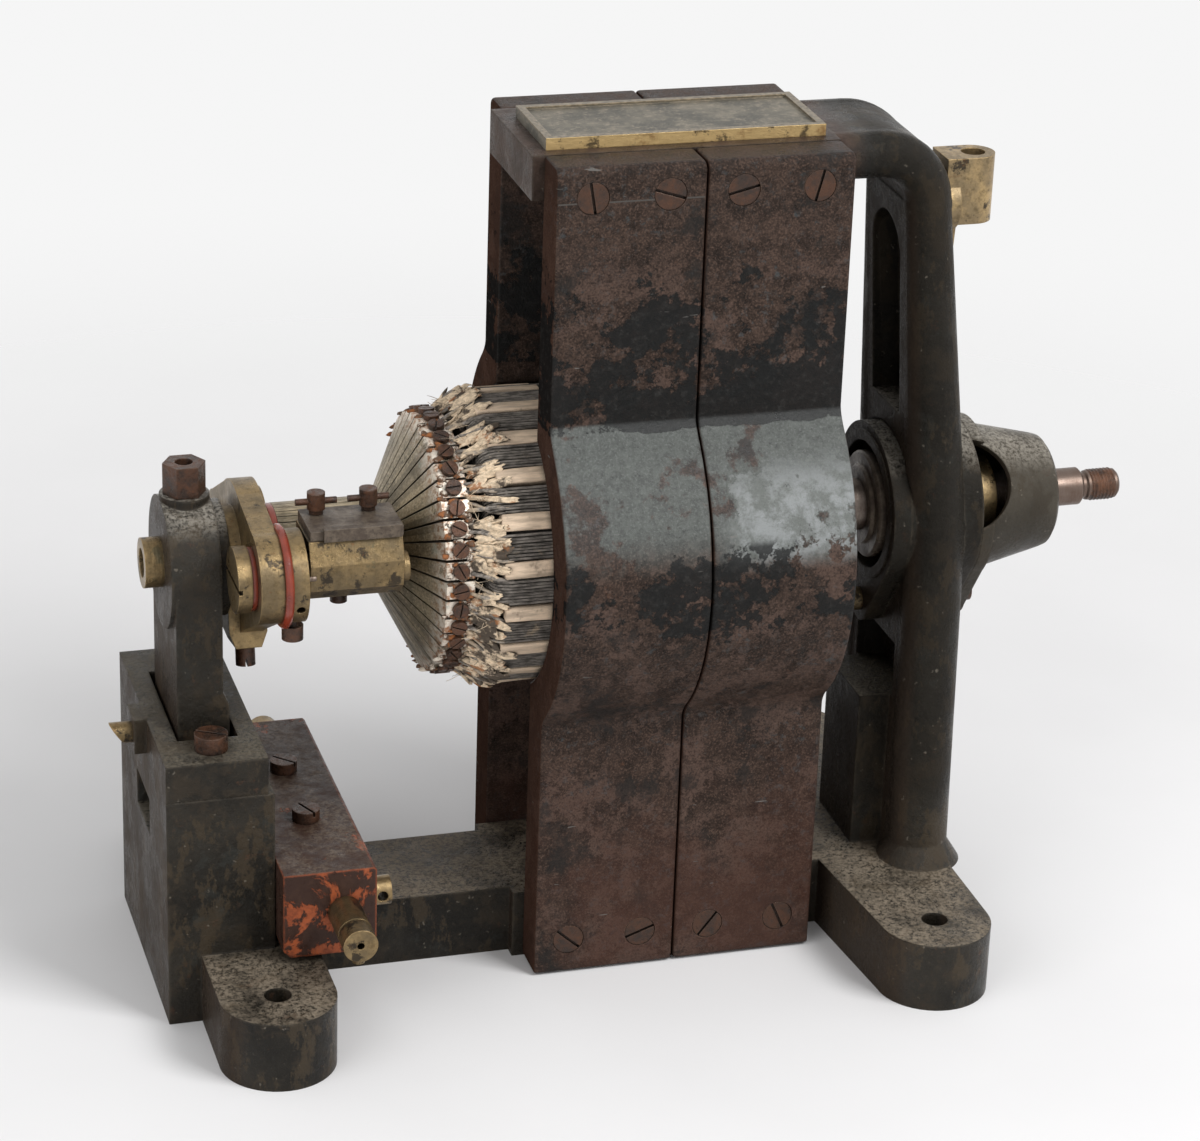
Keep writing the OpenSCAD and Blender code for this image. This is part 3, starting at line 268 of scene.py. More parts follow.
def forged_bar(look):
    """Forged iron, finely mottled, with grey paint on the bulge and black paint above and below it; painted
    shade in its hollows, a painted redder tone on its side faces and a painted highlight along a scribed
    line.
    """
    f = Finish("forged_bar", corner=0.0008)
    height, along, front = f.axis["Z"], f.axis["X"], f.facing["Y"]
    broad = f.noise(20, 8, 0.65)
    patch = f.noise(32, 15, 0.66)
    mottle = f.noise(95, 10, 0.76)
    fine = f.noise(330, 8, 0.78)
    grit = f.noise(1100, 4, 0.7)
    f.colour = f.blend(mottle, 0.41, 0.59, shade(look.iron, 0.66), shade(look.iron, 1.45))
    f.tinge(fine, 0.52, 0.66, shade(look.iron, 2.6), 0.55)
    bloom = f.both(f.ramp(f.noise(50, 14, 0.7), 0.525, 0.545, 0.75), f.ramp(height, 0.335, 0.29))
    f.cover(bloom, (0.094, 0.06, 0.047))
    f.tinge(grit, 0.52, 0.64, shade(look.iron, 3.4), 0.6)
    f.tinge(grit, 0.48, 0.38, shade(look.iron, 0.3), 0.6)
    f.tinge(fine, 0.47, 0.38, shade(look.iron, 0.3), 0.6)
    clouds = f.noise(42, 12, 0.72)
    f.tinge(clouds, 0.47, 0.39, (0.016, 0.015, 0.014), 0.75)
    specks = f.both(f.ramp(f.noise(240, 9, 0.8), 0.54, 0.62, 0.6), f.ramp(broad, 0.42, 0.58))
    f.cover(specks, (0.066, 0.076, 0.08))
    f.tinge(f.noise(120, 11, 0.78), 0.6, 0.68, look.rust, 0.55)
    foot = f.both(f.ramp(height, 0.12, 0.02, 0.6), f.ramp(broad, 0.36, 0.6))
    f.cover(foot, (0.07, 0.03, 0.02))
    crown = f.both(f.ramp(f.facing["Z"], 0.1, 0.36), f.ramp(height, 0.292, 0.27))
    reach = f.maths("ADD", f.both(patch, 0.7), height)
    grey = f.blend(fine, 0.38, 0.62, shade(look.slate, 0.66), shade(look.slate, 1.2))
    grey = f.blend(grit, 0.5, 0.66, grey, shade(look.slate, 2.1), 0.5)
    f.cover(f.both(crown, f.ramp(reach, 0.515, 0.545)), grey)
    # Side faces turned to ±X get a redder brown tone: painted light, standing in for how the sides look in
    # their light.
    flank = f.ramp(f.maths("ABSOLUTE", f.facing["X"]), 0.6, 0.9)
    f.cover(f.both(flank, 0.6), (0.06, 0.031, 0.022))
    gleam = f.maths("ADD", f.both(crown, 0.36), f.ramp(flank, 1.0, 0.0, 0.12))
    f.feed(f.shader.inputs["Specular IOR Level"], gleam)
    right_bar = f.ramp(along, 0.04, 0.052)
    crest = f.both(right_bar, f.ramp(height, 0.188, 0.2), f.ramp(height, 0.236, 0.216))
    pale = f.both(crest, f.ramp(patch, 0.475, 0.49), f.ramp(front, 0.0, -0.2))
    f.cover(pale, f.blend(mottle, 0.4, 0.6, shade(look.slate, 1.5), (0.27, 0.285, 0.285)))
    above = f.both(f.ramp(height, 0.2405, 0.2425), f.ramp(height, 0.325, 0.246))
    below = f.both(f.ramp(height, 0.15, 0.17), f.ramp(height, 0.206, 0.186), 0.62)
    band = f.maths("MAXIMUM", above, below)
    flakes = f.maths("ADD", f.noise(34, 15, 0.74), f.both(band, 0.15))
    black = f.both(f.ramp(flakes, 0.6, 0.61), f.ramp(band, 0.04, 0.16), 0.92)
    f.cover(black, f.blend(fine, 0.5, 0.7, (0.0085, 0.0092, 0.0092), (0.03, 0.031, 0.03)))
    # A thin pale line at 0.3362 m across the left bars' front: a scribed line drawn as its painted
    # highlight.
    scribed_highlight = f.ramp(f.maths("ABSOLUTE", f.maths("SUBTRACT", height, 0.3362)), 0.00042, 0.00018)
    left_bar = f.ramp(along, 0.0386, 0.0384)
    scribed_highlight = f.both(scribed_highlight, left_bar, f.ramp(front, -0.8, -0.95), f.ramp(mottle, 0.36, 0.42))
    f.cover(scribed_highlight, (0.082, 0.075, 0.068))
    scratch = f.noise(75, 3, 0.5, stretch=(1.0, 1.0, 7.0))
    f.tinge(scratch, 0.74, 0.755, (0.17, 0.162, 0.15), 0.7)
    f.rub(0.9, (0.14, 0.088, 0.062), f.ramp(mottle, 0.4, 0.6), look.wear)
    f.shade_and_grime(0.012, 0.6, (0.01, 0.008, 0.007))
    gloss = f.maths("ADD", f.ramp(fine, 0.3, 0.75, 0.24), f.ramp(mottle, 0.3, 0.7, 0.2))
    flat = ((broad, 0.0012), (patch, 0.0006), (black, 0.00018))
    rough = ((mottle, 0.0006), (fine, 0.0006), (grit, 0.0003))
    return f.finish(f.maths("ADD", gloss, 0.2), *flat, *rough)


def painted_casting(look, name, lift):
    """Black paint on cast iron with brown stains, worn on edges and dusty on top, with painted sheen on the
    higher tops, painted shade in hollows and a painted lighter tone on faces turned to -X; lift pales the
    paint.
    """
    f = Finish(name, corner=0.0018)
    paint = shade(look.paint, lift)
    height, along = f.axis["Z"], f.axis["X"]
    broad = f.noise(13, 8, 0.66)
    stain = f.noise(44, 13, 0.72)
    fine = f.noise(260, 9, 0.76)
    f.colour = f.blend(broad, 0.36, 0.66, shade(paint, 0.5), shade(paint, 1.5))
    f.tinge(stain, 0.5, 0.6, (0.04, 0.03, 0.02), 0.6)
    runs = f.noise(70, 13, 0.74, stretch=(1.0, 1.0, 0.45))
    f.tinge(runs, 0.525, 0.55, (0.056, 0.041, 0.025), 0.65)
    f.tinge(stain, 0.43, 0.36, (0.033, 0.034, 0.03), 0.5)
    f.tinge(fine, 0.56, 0.68, (0.056, 0.044, 0.031), 0.45)
    f.tinge(f.noise(120, 10, 0.76), 0.6, 0.67, (0.085, 0.042, 0.024), 0.5)
    upright = f.both(f.ramp(along, 0.108, 0.118), f.ramp(height, 0.045, 0.07))
    f.cover(f.both(upright, 0.5), shade(paint, 0.7))
    speckle = f.ramp(f.noise(620, 6, 0.8), 0.38, 0.58, 0.85)
    thin = f.ramp(f.noise(38, 9, 0.72), 0.3, 0.56)
    # Dusting on upward faces, paler higher up; its palest tone, on tops between 0.19 m and 0.3 m such as
    # the standard's head, is painted sheen standing in for highlights.
    dust_and_sheen = f.both(f.ramp(f.facing["Z"], 0.55, 0.97), speckle, thin, f.ramp(height, 0.3, 0.27))
    fallen = f.blend(height, 0.02, 0.06, (0.3, 0.245, 0.182), (0.165, 0.143, 0.108))
    f.cover(dust_and_sheen, f.blend(height, 0.15, 0.19, fallen, (0.36, 0.33, 0.28)))
    yoke = f.both(f.ramp(height, 0.318, 0.328), f.ramp(along, 0.112, 0.101))
    skin = f.noise(95, 10, 0.76)
    f.cover(yoke, f.blend(skin, 0.38, 0.62, shade(look.iron, 0.8), shade(look.iron, 1.9)))
    f.rub(0.84, (0.105, 0.088, 0.066), f.ramp(f.noise(95, 9, 0.74), 0.4, 0.58), look.wear)
    chips = f.noise(330, 4, 0.55)
    f.tinge(chips, 0.68, 0.71, (0.2, 0.175, 0.14), 0.5)
    f.shade_and_grime(0.015, 0.6, (0.016, 0.012, 0.008))
    # Faces turned to -X get a lighter, browner tone: painted light, standing in for how that side is lit.
    flank = f.ramp(f.facing["X"], -0.6, -0.9)
    f.cover(f.both(flank, 0.4), (0.066, 0.047, 0.036))
    gleam = f.both(f.ramp(flank, 1.3, 0.0, 0.16), f.ramp(upright, 2.0, 0.0))
    f.feed(f.shader.inputs["Specular IOR Level"], gleam)
    matt = f.both(dust_and_sheen, f.ramp(height, 0.19, 0.15), 0.4)
    rough = f.maths("ADD", f.raised(0.18, stain, 0.35, 0.65, 0.24), matt)
    return f.finish(rough, (broad, 0.0016), (stain, 0.0009), (fine, 0.0007))


def aged_brass(look, name, tarnish, dark):
    """Brass gone brown and olive, brighter on its edges; tarnish dulls it and dark spreads its spots."""
    f = Finish(name, metallic=0.85, corner=0.0007)
    broad = f.noise(55, 10, 0.7)
    fine = f.noise(330, 9, 0.78)
    lines = f.noise(120, 4, 0.6, stretch=(9.0, 1.0, 1.0))
    dull = shade((0.15, 0.112, 0.064), 1.0 - 0.35 * tarnish)
    f.colour = f.blend(broad, 0.38, 0.62, shade(look.brass, 1.15 - 0.5 * tarnish), dull)
    f.tinge(fine, 0.46, 0.66, shade(look.brass, 0.42), 0.65)
    spots = f.noise(85, 12, 0.72)
    f.tinge(spots, 0.585 - 0.06 * dark, 0.62 - 0.05 * dark, (0.036, 0.029, 0.022), 0.9)
    f.tinge(f.noise(75, 9, 0.72), 0.6, 0.66, (0.072, 0.078, 0.052), 0.5)
    f.tinge(f.noise(140, 9, 0.74), 0.6, 0.66, (0.165, 0.07, 0.024), 0.5)
    f.rub(0.86, shade(look.brass, 1.9), f.ramp(fine, 0.3, 0.55), look.wear)
    f.shade_and_grime(0.006, 0.8, (0.02, 0.015, 0.01))
    rough = f.raised(0.24, broad, 0.3, 0.7, 0.24)
    return f.finish(rough, (broad, 0.0005), (lines, 0.0001), (fine, 0.0002))


def rusty_metal(look, name, amount):
    """Screws and small iron, brown to orange with dark heads; amount is the share of rust."""
    f = Finish(name, metallic=0.35, specular=0.45, corner=0.0006)
    broad = f.noise(130, 8, 0.7)
    fine = f.noise(480, 7, 0.75)
    f.colour = f.blend(broad, 0.36, 0.62, shade(look.iron, 0.9), shade(look.rust, 0.55 + 0.45 * amount))
    f.tinge(fine, 0.5, 0.7, (0.19, 0.07, 0.028), 0.6 * amount)
    f.tinge(f.noise(260, 8, 0.75), 0.56, 0.64, (0.03, 0.026, 0.024), 0.5)
    f.rub(0.86, (0.15, 0.098, 0.07), f.ramp(broad, 0.36, 0.58), look.wear)
    f.shade_and_grime(0.004, 0.85, (0.01, 0.007, 0.005))
    return f.finish(f.ramp(fine, 0.2, 0.8, 0.75), (broad, 0.0004), (fine, 0.0003))


def worn_plate(look):
    """Brown-grey iron of the clamp plates and the oil thrower."""
    f = Finish("worn_plate", metallic=0.3, specular=0.3, corner=0.0006)
    broad = f.noise(90, 10, 0.72)
    fine = f.noise(420, 8, 0.78)
    f.colour = f.blend(broad, 0.4, 0.6, (0.15, 0.118, 0.088), (0.08, 0.06, 0.046))
    f.tinge(fine, 0.48, 0.62, (0.045, 0.035, 0.028), 0.7)
    f.rub(0.86, (0.19, 0.155, 0.12), look.wear)
    f.shade_and_grime(0.005, 0.7, (0.014, 0.01, 0.008))
    return f.finish(f.ramp(broad, 0.0, 1.0, 0.8), (broad, 0.0004), (fine, 0.0003))


def shaft_steel(look):
    """Turned steel gone brown, more so at the drive end, with fine lines round it."""
    f = Finish("shaft_steel", metallic=0.85, corner=0.0005)
    broad = f.noise(60, 8, 0.7)
    lines = f.noise(420, 5, 0.6, stretch=(6.0, 0.6, 0.6))
    f.colour = f.blend(broad, 0.35, 0.65, look.steel, (0.13, 0.086, 0.062))
    f.tinge(lines, 0.5, 0.68, (0.42, 0.37, 0.32), 0.6)
    f.tinge(f.axis["X"], 0.195, 0.205, (0.105, 0.066, 0.05), 0.7)
    f.shade_and_grime(0.006, 0.8, (0.02, 0.014, 0.01))
    return f.finish(f.raised(0.3, broad, 0.2, 0.8, 0.25), (lines, 0.00008), (broad, 0.00008))


def riser_brass(look):
    """Commutator brass: dull olive leaves of uneven tone, with pale crust towards the screws."""
    f = Finish("riser_brass", metallic=0.65, corner=0.0003)
    broad = f.noise(48, 8, 0.7)
    fine = f.noise(360, 8, 0.75)
    lines = f.noise(150, 5, 0.65, stretch=(1.5, 7.0, 7.0))
    f.colour = f.blend(broad, 0.36, 0.64, (0.33, 0.262, 0.162), (0.175, 0.146, 0.098))
    f.tinge(lines, 0.5, 0.66, (0.54, 0.45, 0.32), 0.7)
    f.tinge(lines, 0.46, 0.36, (0.07, 0.058, 0.038), 0.6)
    beside = f.both(f.axis["Y"], -1.0)
    around = f.maths("ARCTAN2", beside, f.maths("SUBTRACT", f.axis["Z"], SHAFT_Z))
    number = f.maths("FLOOR", f.both(around, RISERS / TURN))
    leaf = f.add("ShaderNodeTexWhiteNoise", {"W": number}, noise_dimensions="1D")
    f.tinge(leaf.outputs["Value"], 0.45, 1.0, (0.085, 0.07, 0.046), 0.6)
    rim = f.ramp(f.axis["X"], -0.068, -0.06)
    crust = f.both(rim, f.ramp(f.noise(120, 9, 0.75), 0.39, 0.47, 0.95))
    f.cover(crust, f.blend(fine, 0.4, 0.56, (0.38, 0.175, 0.085), (0.93, 0.845, 0.73)))
    green = f.both(f.ramp(f.axis["X"], -0.072, -0.06), f.ramp(f.noise(120, 5, 0.6), 0.62, 0.68, 0.5))
    f.cover(green, (0.22, 0.3, 0.26))
    f.rub(0.9, (0.46, 0.39, 0.28), f.ramp(fine, 0.35, 0.6), look.wear)
    f.shade_and_grime(0.003, 0.8, (0.014, 0.012, 0.009))
    rough = f.raised(0.3, broad, 0.2, 0.8, 0.25)
    return f.finish(rough, (lines, 0.00016), (crust, 0.0004), (fine, 0.00012))


def red_fibre(look):
    """Glossy red insulating rings."""
    f = Finish("red_fibre", coat=0.1, corner=0.0014)
    broad = f.noise(90, 6, 0.6)
    fine = f.noise(500, 5, 0.6)
    f.colour = f.blend(broad, 0.35, 0.7, look.fibre, shade(look.fibre, 0.55))
    f.tinge(fine, 0.58, 0.75, (0.06, 0.014, 0.008), 0.4)
    f.shade_and_grime(0.003, 0.7, (0.03, 0.008, 0.005))
    return f.finish(f.ramp(broad, 0.0, 1.0, 0.42), (fine, 0.00008))


def block_varnish():
    """Red fibre block under black varnish that has worn through on edges and ends, dusty on top."""
    f = Finish("block_varnish", specular=0.2, corner=0.0014)
    broad = f.noise(34, 9, 0.7, twist=0.4)
    fine = f.noise(210, 8, 0.75)
    f.colour = f.blend(fine, 0.38, 0.68, (0.35, 0.088, 0.032), (0.17, 0.044, 0.02))
    ends = f.ramp(f.maths("ABSOLUTE", f.facing["Y"]), 0.7, 0.95, 0.085)
    cover = f.ramp(f.maths("SUBTRACT", broad, ends), 0.4, 0.43, 0.94)
    cover = f.both(cover, f.ramp(f.both(f.edges(0.9), f.ramp(fine, 0.3, 0.5)), 0.8, 0.1))
    f.cover(cover, f.blend(fine, 0.4, 0.7, (0.017, 0.013, 0.011), (0.048, 0.027, 0.019)))
    top = f.both(f.ramp(f.facing["Z"], 0.8, 0.98), f.ramp(f.noise(620, 6, 0.8), 0.4, 0.6, 0.8))
    f.cover(f.both(top, f.ramp(f.noise(45, 9, 0.72), 0.38, 0.56)), (0.15, 0.112, 0.082))
    f.shade_and_grime(0.01, 0.6, (0.01, 0.007, 0.006))
    return f.finish(f.ramp(fine, 0.1, 0.9, 0.85), (cover, 0.00025), (fine, 0.0003))


def peg_wood(look):
    """Tan wooden pegs with grain along the drum, darker patches, and painted shade with dirt in the
    corners.
    """
    f = Finish("peg_wood", specular=0.3, corner=0.0012)
    grain = f.noise(260, 7, 0.7, stretch=(0.12, 1.0, 1.0))
    broad = f.noise(75, 8, 0.7)
    f.colour = f.blend(grain, 0.36, 0.66, look.wood, shade(look.wood, 0.5))
    f.tinge(broad, 0.55, 0.7, (0.13, 0.092, 0.064), 0.7)
    f.tinge(broad, 0.42, 0.34, (0.7, 0.56, 0.42), 0.5)
    f.shade_and_grime(0.004, 0.85, (0.022, 0.016, 0.012))
    return f.finish(f.ramp(broad, 0.9, 0.1, 0.95), (grain, 0.0006), (broad, 0.0005))


def bound_core(look):
    """Dark cloth and varnish on the drum core."""
    f = Finish("bound_core", specular=0.3, corner=0.0004)
    broad = f.noise(60, 8, 0.7)
    weave = f.noise(620, 3, 0.5, stretch=(1.0, 0.4, 0.4))
    f.colour = f.blend(broad, 0.38, 0.64, shade(look.cotton, 0.5), shade(look.cotton, 1.2))
    f.tinge(weave, 0.5, 0.7, (0.075, 0.056, 0.04), 0.4)
    return f.finish(f.ramp(broad, 1.0, 0.0, 0.95), (weave, 0.0003))


def plate_brass(look):
    """Cast nameplate: dull dark face, worn rim and a bright front edge, its brightness a painted highlight.
    """
    f = Finish("plate_brass", metallic=0.75, corner=0.0005)
    low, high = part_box("nameplate")
    broad = f.noise(60, 8, 0.7)
    fine = f.noise(420, 8, 0.75)
    field = f.ramp(f.axis["Z"], high[2] - 0.0003, high[2] - 0.0012)
    side = f.both(f.ramp(f.facing["Y"], -0.4, -0.8), f.ramp(f.axis["Y"], low[1] + 0.002, low[1] + 0.001))
    patina = f.blend(broad, 0.36, 0.64, (0.235, 0.212, 0.168), (0.115, 0.11, 0.094))
    patina = f.blend(fine, 0.5, 0.64, patina, (0.39, 0.335, 0.26), 0.6)
    # The front edge (faces turned to -Y) is painted bright gold with dark spots: a painted highlight on the
    # brass edge; the other edges stay dull.
    front_highlight = f.blend(broad, 0.5, 0.66, look.gold, (0.24, 0.12, 0.04))
    front_highlight = f.blend(f.noise(95, 9, 0.74), 0.54, 0.61, front_highlight, (0.05, 0.038, 0.026), 0.85)
    f.colour = f.blend(fine, 0.4, 0.6, (0.3, 0.245, 0.17), (0.14, 0.118, 0.086))
    f.cover(field, patina)
    f.cover(side, front_highlight)
    f.rub(0.88, shade(look.gold, 0.6), f.ramp(fine, 0.4, 0.6), 0.3)
    return f.finish(f.raised(0.34, field, 0.0, 1.0, 0.18), (broad, 0.0003), (fine, 0.0003))


def covered_wire(look, name, tone, pale):
    """Cotton-covered wire; tone lightens the cotton and pale is how far it is dusty and frayed."""
    f = Finish(name, specular=0.15, corner=0.0002)
    strand = f.noise(700, 5, 0.7, stretch=(0.25, 1.0, 1.0))
    broad = f.noise(85, 8, 0.72)
    f.colour = f.blend(strand, 0.36, 0.66, shade(look.cotton, 0.7 * tone), shade(look.cotton, 2.6 * tone))
    f.tinge(broad, 0.6 - 0.16 * pale, 0.7 - 0.14 * pale, shade(look.tape, 0.35 + 0.4 * pale), 0.85)
    f.shade_and_grime(0.0016, 0.7, (0.008, 0.008, 0.008))
    return f.finish(0.9, (strand, 0.0003))


def torn_tape(look):
    """Cream cotton tape, blackened and rust-stained in patches, its weave showing."""
    f = Finish("torn_tape", specular=0.12, corner=0.0003)
    weave = f.noise(900, 4, 0.6, stretch=(0.25, 1.0, 1.0))
    broad = f.noise(120, 9, 0.75)
    soil = f.noise(70, 7, 0.65)
    f.colour = f.blend(weave, 0.35, 0.68, look.tape, shade(look.tape, 0.6))
    f.tinge(broad, 0.4, 0.33, (0.9, 0.78, 0.62), 0.7)
    f.tinge(soil, 0.51, 0.57, (0.07, 0.056, 0.046), 0.94)
    f.tinge(broad, 0.58, 0.68, (0.22, 0.185, 0.15), 0.8)
    f.tinge(f.noise(95, 7, 0.7), 0.56, 0.63, (0.36, 0.15, 0.06), 0.85)
    f.shade_and_grime(0.002, 0.7, (0.04, 0.03, 0.022))
    return f.finish(0.95, (weave, 0.0005), (broad, 0.0006))


def loose_thread(look):
    """Frayed cotton, cream to grey."""
    f = Finish("loose_thread", specular=0.2, corner=0.0001)
    f.colour = f.blend(f.noise(160, 6, 0.7), 0.4, 0.62, look.tape, (0.15, 0.125, 0.1))
    return f.finish(0.95, (f.noise(900, 2, 0.5), 0.0001))


def crusted():
    """Corrosion about the riser screws: rust, cream and white."""
    f = Finish("crusted", specular=0.1, corner=0.0003)
    broad = f.noise(110, 8, 0.72)
    fine = f.noise(520, 7, 0.75)
    f.colour = f.blend(broad, 0.42, 0.5, (0.36, 0.14, 0.055), (0.15, 0.095, 0.065))
    f.tinge(broad, 0.52, 0.58, (0.8, 0.71, 0.6))
    f.tinge(fine, 0.5, 0.66, (0.07, 0.05, 0.038), 0.7)
    return f.finish(0.95, (fine, 0.0006))


def alone(obj):
    """Select one object and make it active."""
    bpy.ops.object.select_all(action="DESELECT")
    obj.select_set(True)
    bpy.context.view_layer.objects.active = obj
    return obj


def apply_all(obj):
    """Apply every modifier of an object."""
    alone(obj)
    for modifier in list(obj.modifiers):
        bpy.ops.object.modifier_apply(modifier=modifier.name)
    return obj


def joined(parts, name):
    """Several objects made one, under a new name."""
    alone(parts[0])
    for part in parts[1:]:
        part.select_set(True)
    bpy.ops.object.join()
    whole = bpy.context.view_layer.objects.active
    whole.name = whole.data.name = name
    return whole


def worn_edges(obj, width):
    """Round an object's edges a little and shade it smooth up to them."""
    bevel = obj.modifiers.new("worn", "BEVEL")
    bevel.width = width
    bevel.segments = 2
    apply_all(obj)
    bpy.ops.object.shade_smooth_by_angle(angle=SHARP)


def stray(chance, reach):
    """A random amount up to reach either way."""
    return chance.uniform(-reach, reach)


def round_shaft(angle, x, side, out):
    """A point at an angle about the shaft: along X, beside and out from the axis."""
    turn, lift = math.cos(angle), math.sin(angle)
    return Vector((x, side * turn - out * lift, SHAFT_Z + side * lift + out * turn))


def tubes(name, paths, radius, rounds=1, smooth=False):
    """Closed-ended tubes along paths of points, as one mesh."""
    curve = bpy.data.curves.new(name, "CURVE")
    curve.dimensions = "3D"
    curve.bevel_depth = radius
    curve.bevel_resolution = rounds
    curve.use_fill_caps = True
    curve.resolution_u = 4
    for path in paths:
        spline = curve.splines.new("NURBS" if smooth else "POLY")
        spline.points.add(len(path) - 1)
        for point, place in zip(spline.points, path):
            point.co = (*place[:3], 1.0)
            point.radius = place[3] if len(place) > 3 else 1.0
        if smooth:
            spline.order_u = 4
            spline.use_endpoint_u = True
    obj = bpy.data.objects.new(name, curve)
    bpy.context.scene.collection.objects.link(obj)
    alone(obj)
    bpy.ops.object.convert(target="MESH")
    bpy.ops.object.shade_smooth()
    return bpy.context.view_layer.objects.active


def settle(obj, body, slot, material, *nodes):
    """Give a piece its finish and its body, and hide the nodes that it stands for."""
    obj.data.materials.clear()
    obj.data.materials.append(material)
    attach(obj, body)
    if nodes:
        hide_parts(*nodes)
    return obj


class DYNAMO_OT_winding(bpy.types.Operator):
    """Wind the drum: ten coils in two layers, each one unbroken wire"""

    bl_idname = "dynamo.winding"
    bl_label = "Winding"

    coils = 10
    # Each layer: its distance out, its left and right bends, and the shift of its crossings.
    layers = ((0.057, -0.0428, 0.1023, 0.0), (0.0592, -0.045, 0.1039, 0.0011))
    corner = 0.006
    slack = 0.00012
    beside_shaft = 0.0129
    crossing = (0.036, 0.01)
    right_level = 0.0873
    right_step = 0.0022
    left_level = -0.0403
    left_step = 0.001

    def execute(self, context):
        settings = context.scene.dynamo_wound
        look = context.scene.dynamo_colours
        chance = random.Random(11)
        each = [(number, *layer) for number in range(self.coils) for layer in self.layers]
        piece = tubes("winding", [self.coil(settings, chance, *which) for which in each], settings.wire)
        cotton = covered_wire(look, "wire_cotton", 1.0, 0.1)
        settle(piece, "armature", "cotton", cotton, "armature_winding")
        return {"FINISHED"}

    def coil(self, settings, chance, number, out, left, right, shift):
        """One coil's path, from slot to slot round both ends of the drum."""
        angle = math.pi / self.coils * number
        last = settings.turns - 1
        side = [(i - last / 2) * settings.pitch for i in range(settings.turns)]
        beside = [-self.beside_shaft] + [self.beside_shaft + i * settings.pitch for i in range(last)]
        level_right = self.right_level + number * self.right_step + shift
        level_left = self.left_level - number * self.left_step - shift * 0.5
        path = [(left + self.corner, out, side[0])]
        for i in range(settings.turns):
            near = self.half(right, 1, level_right, out, side[i], beside[i])
            path += near + self.mirrored(near)
            if i < last:
                home = self.half(left, -1, level_left, out, side[i], beside[i])
                away = self.half(left, -1, level_left, out, side[i + 1], beside[i])
                path += [(x, -d, s) for x, d, s in home] + away[::-1]
        path.append((left + self.corner, -out, side[last]))
        loose = [[p + stray(chance, self.slack) for p in (x, s, d)] for x, d, s in path]
        return [round_shaft(angle, *point) for point in loose]

    def half(self, bend, way, level, out, side, beside):
        """Half of a crossing: round the drum's edge, in to its level and past the shaft."""
        path = []
        for step in range(5):
            a = math.pi / 8 * step
            inward = way * self.corner * (1 - math.sin(a))
            path.append((bend - inward, out - self.corner * (1 - math.cos(a)), side))
        return path + [(level, self.crossing[0], side), (level, self.crossing[1], beside)]

    def mirrored(self, points):
        """The other half of a crossing, in reverse."""
        return [(x, -d, s) for x, d, s in reversed(points)]


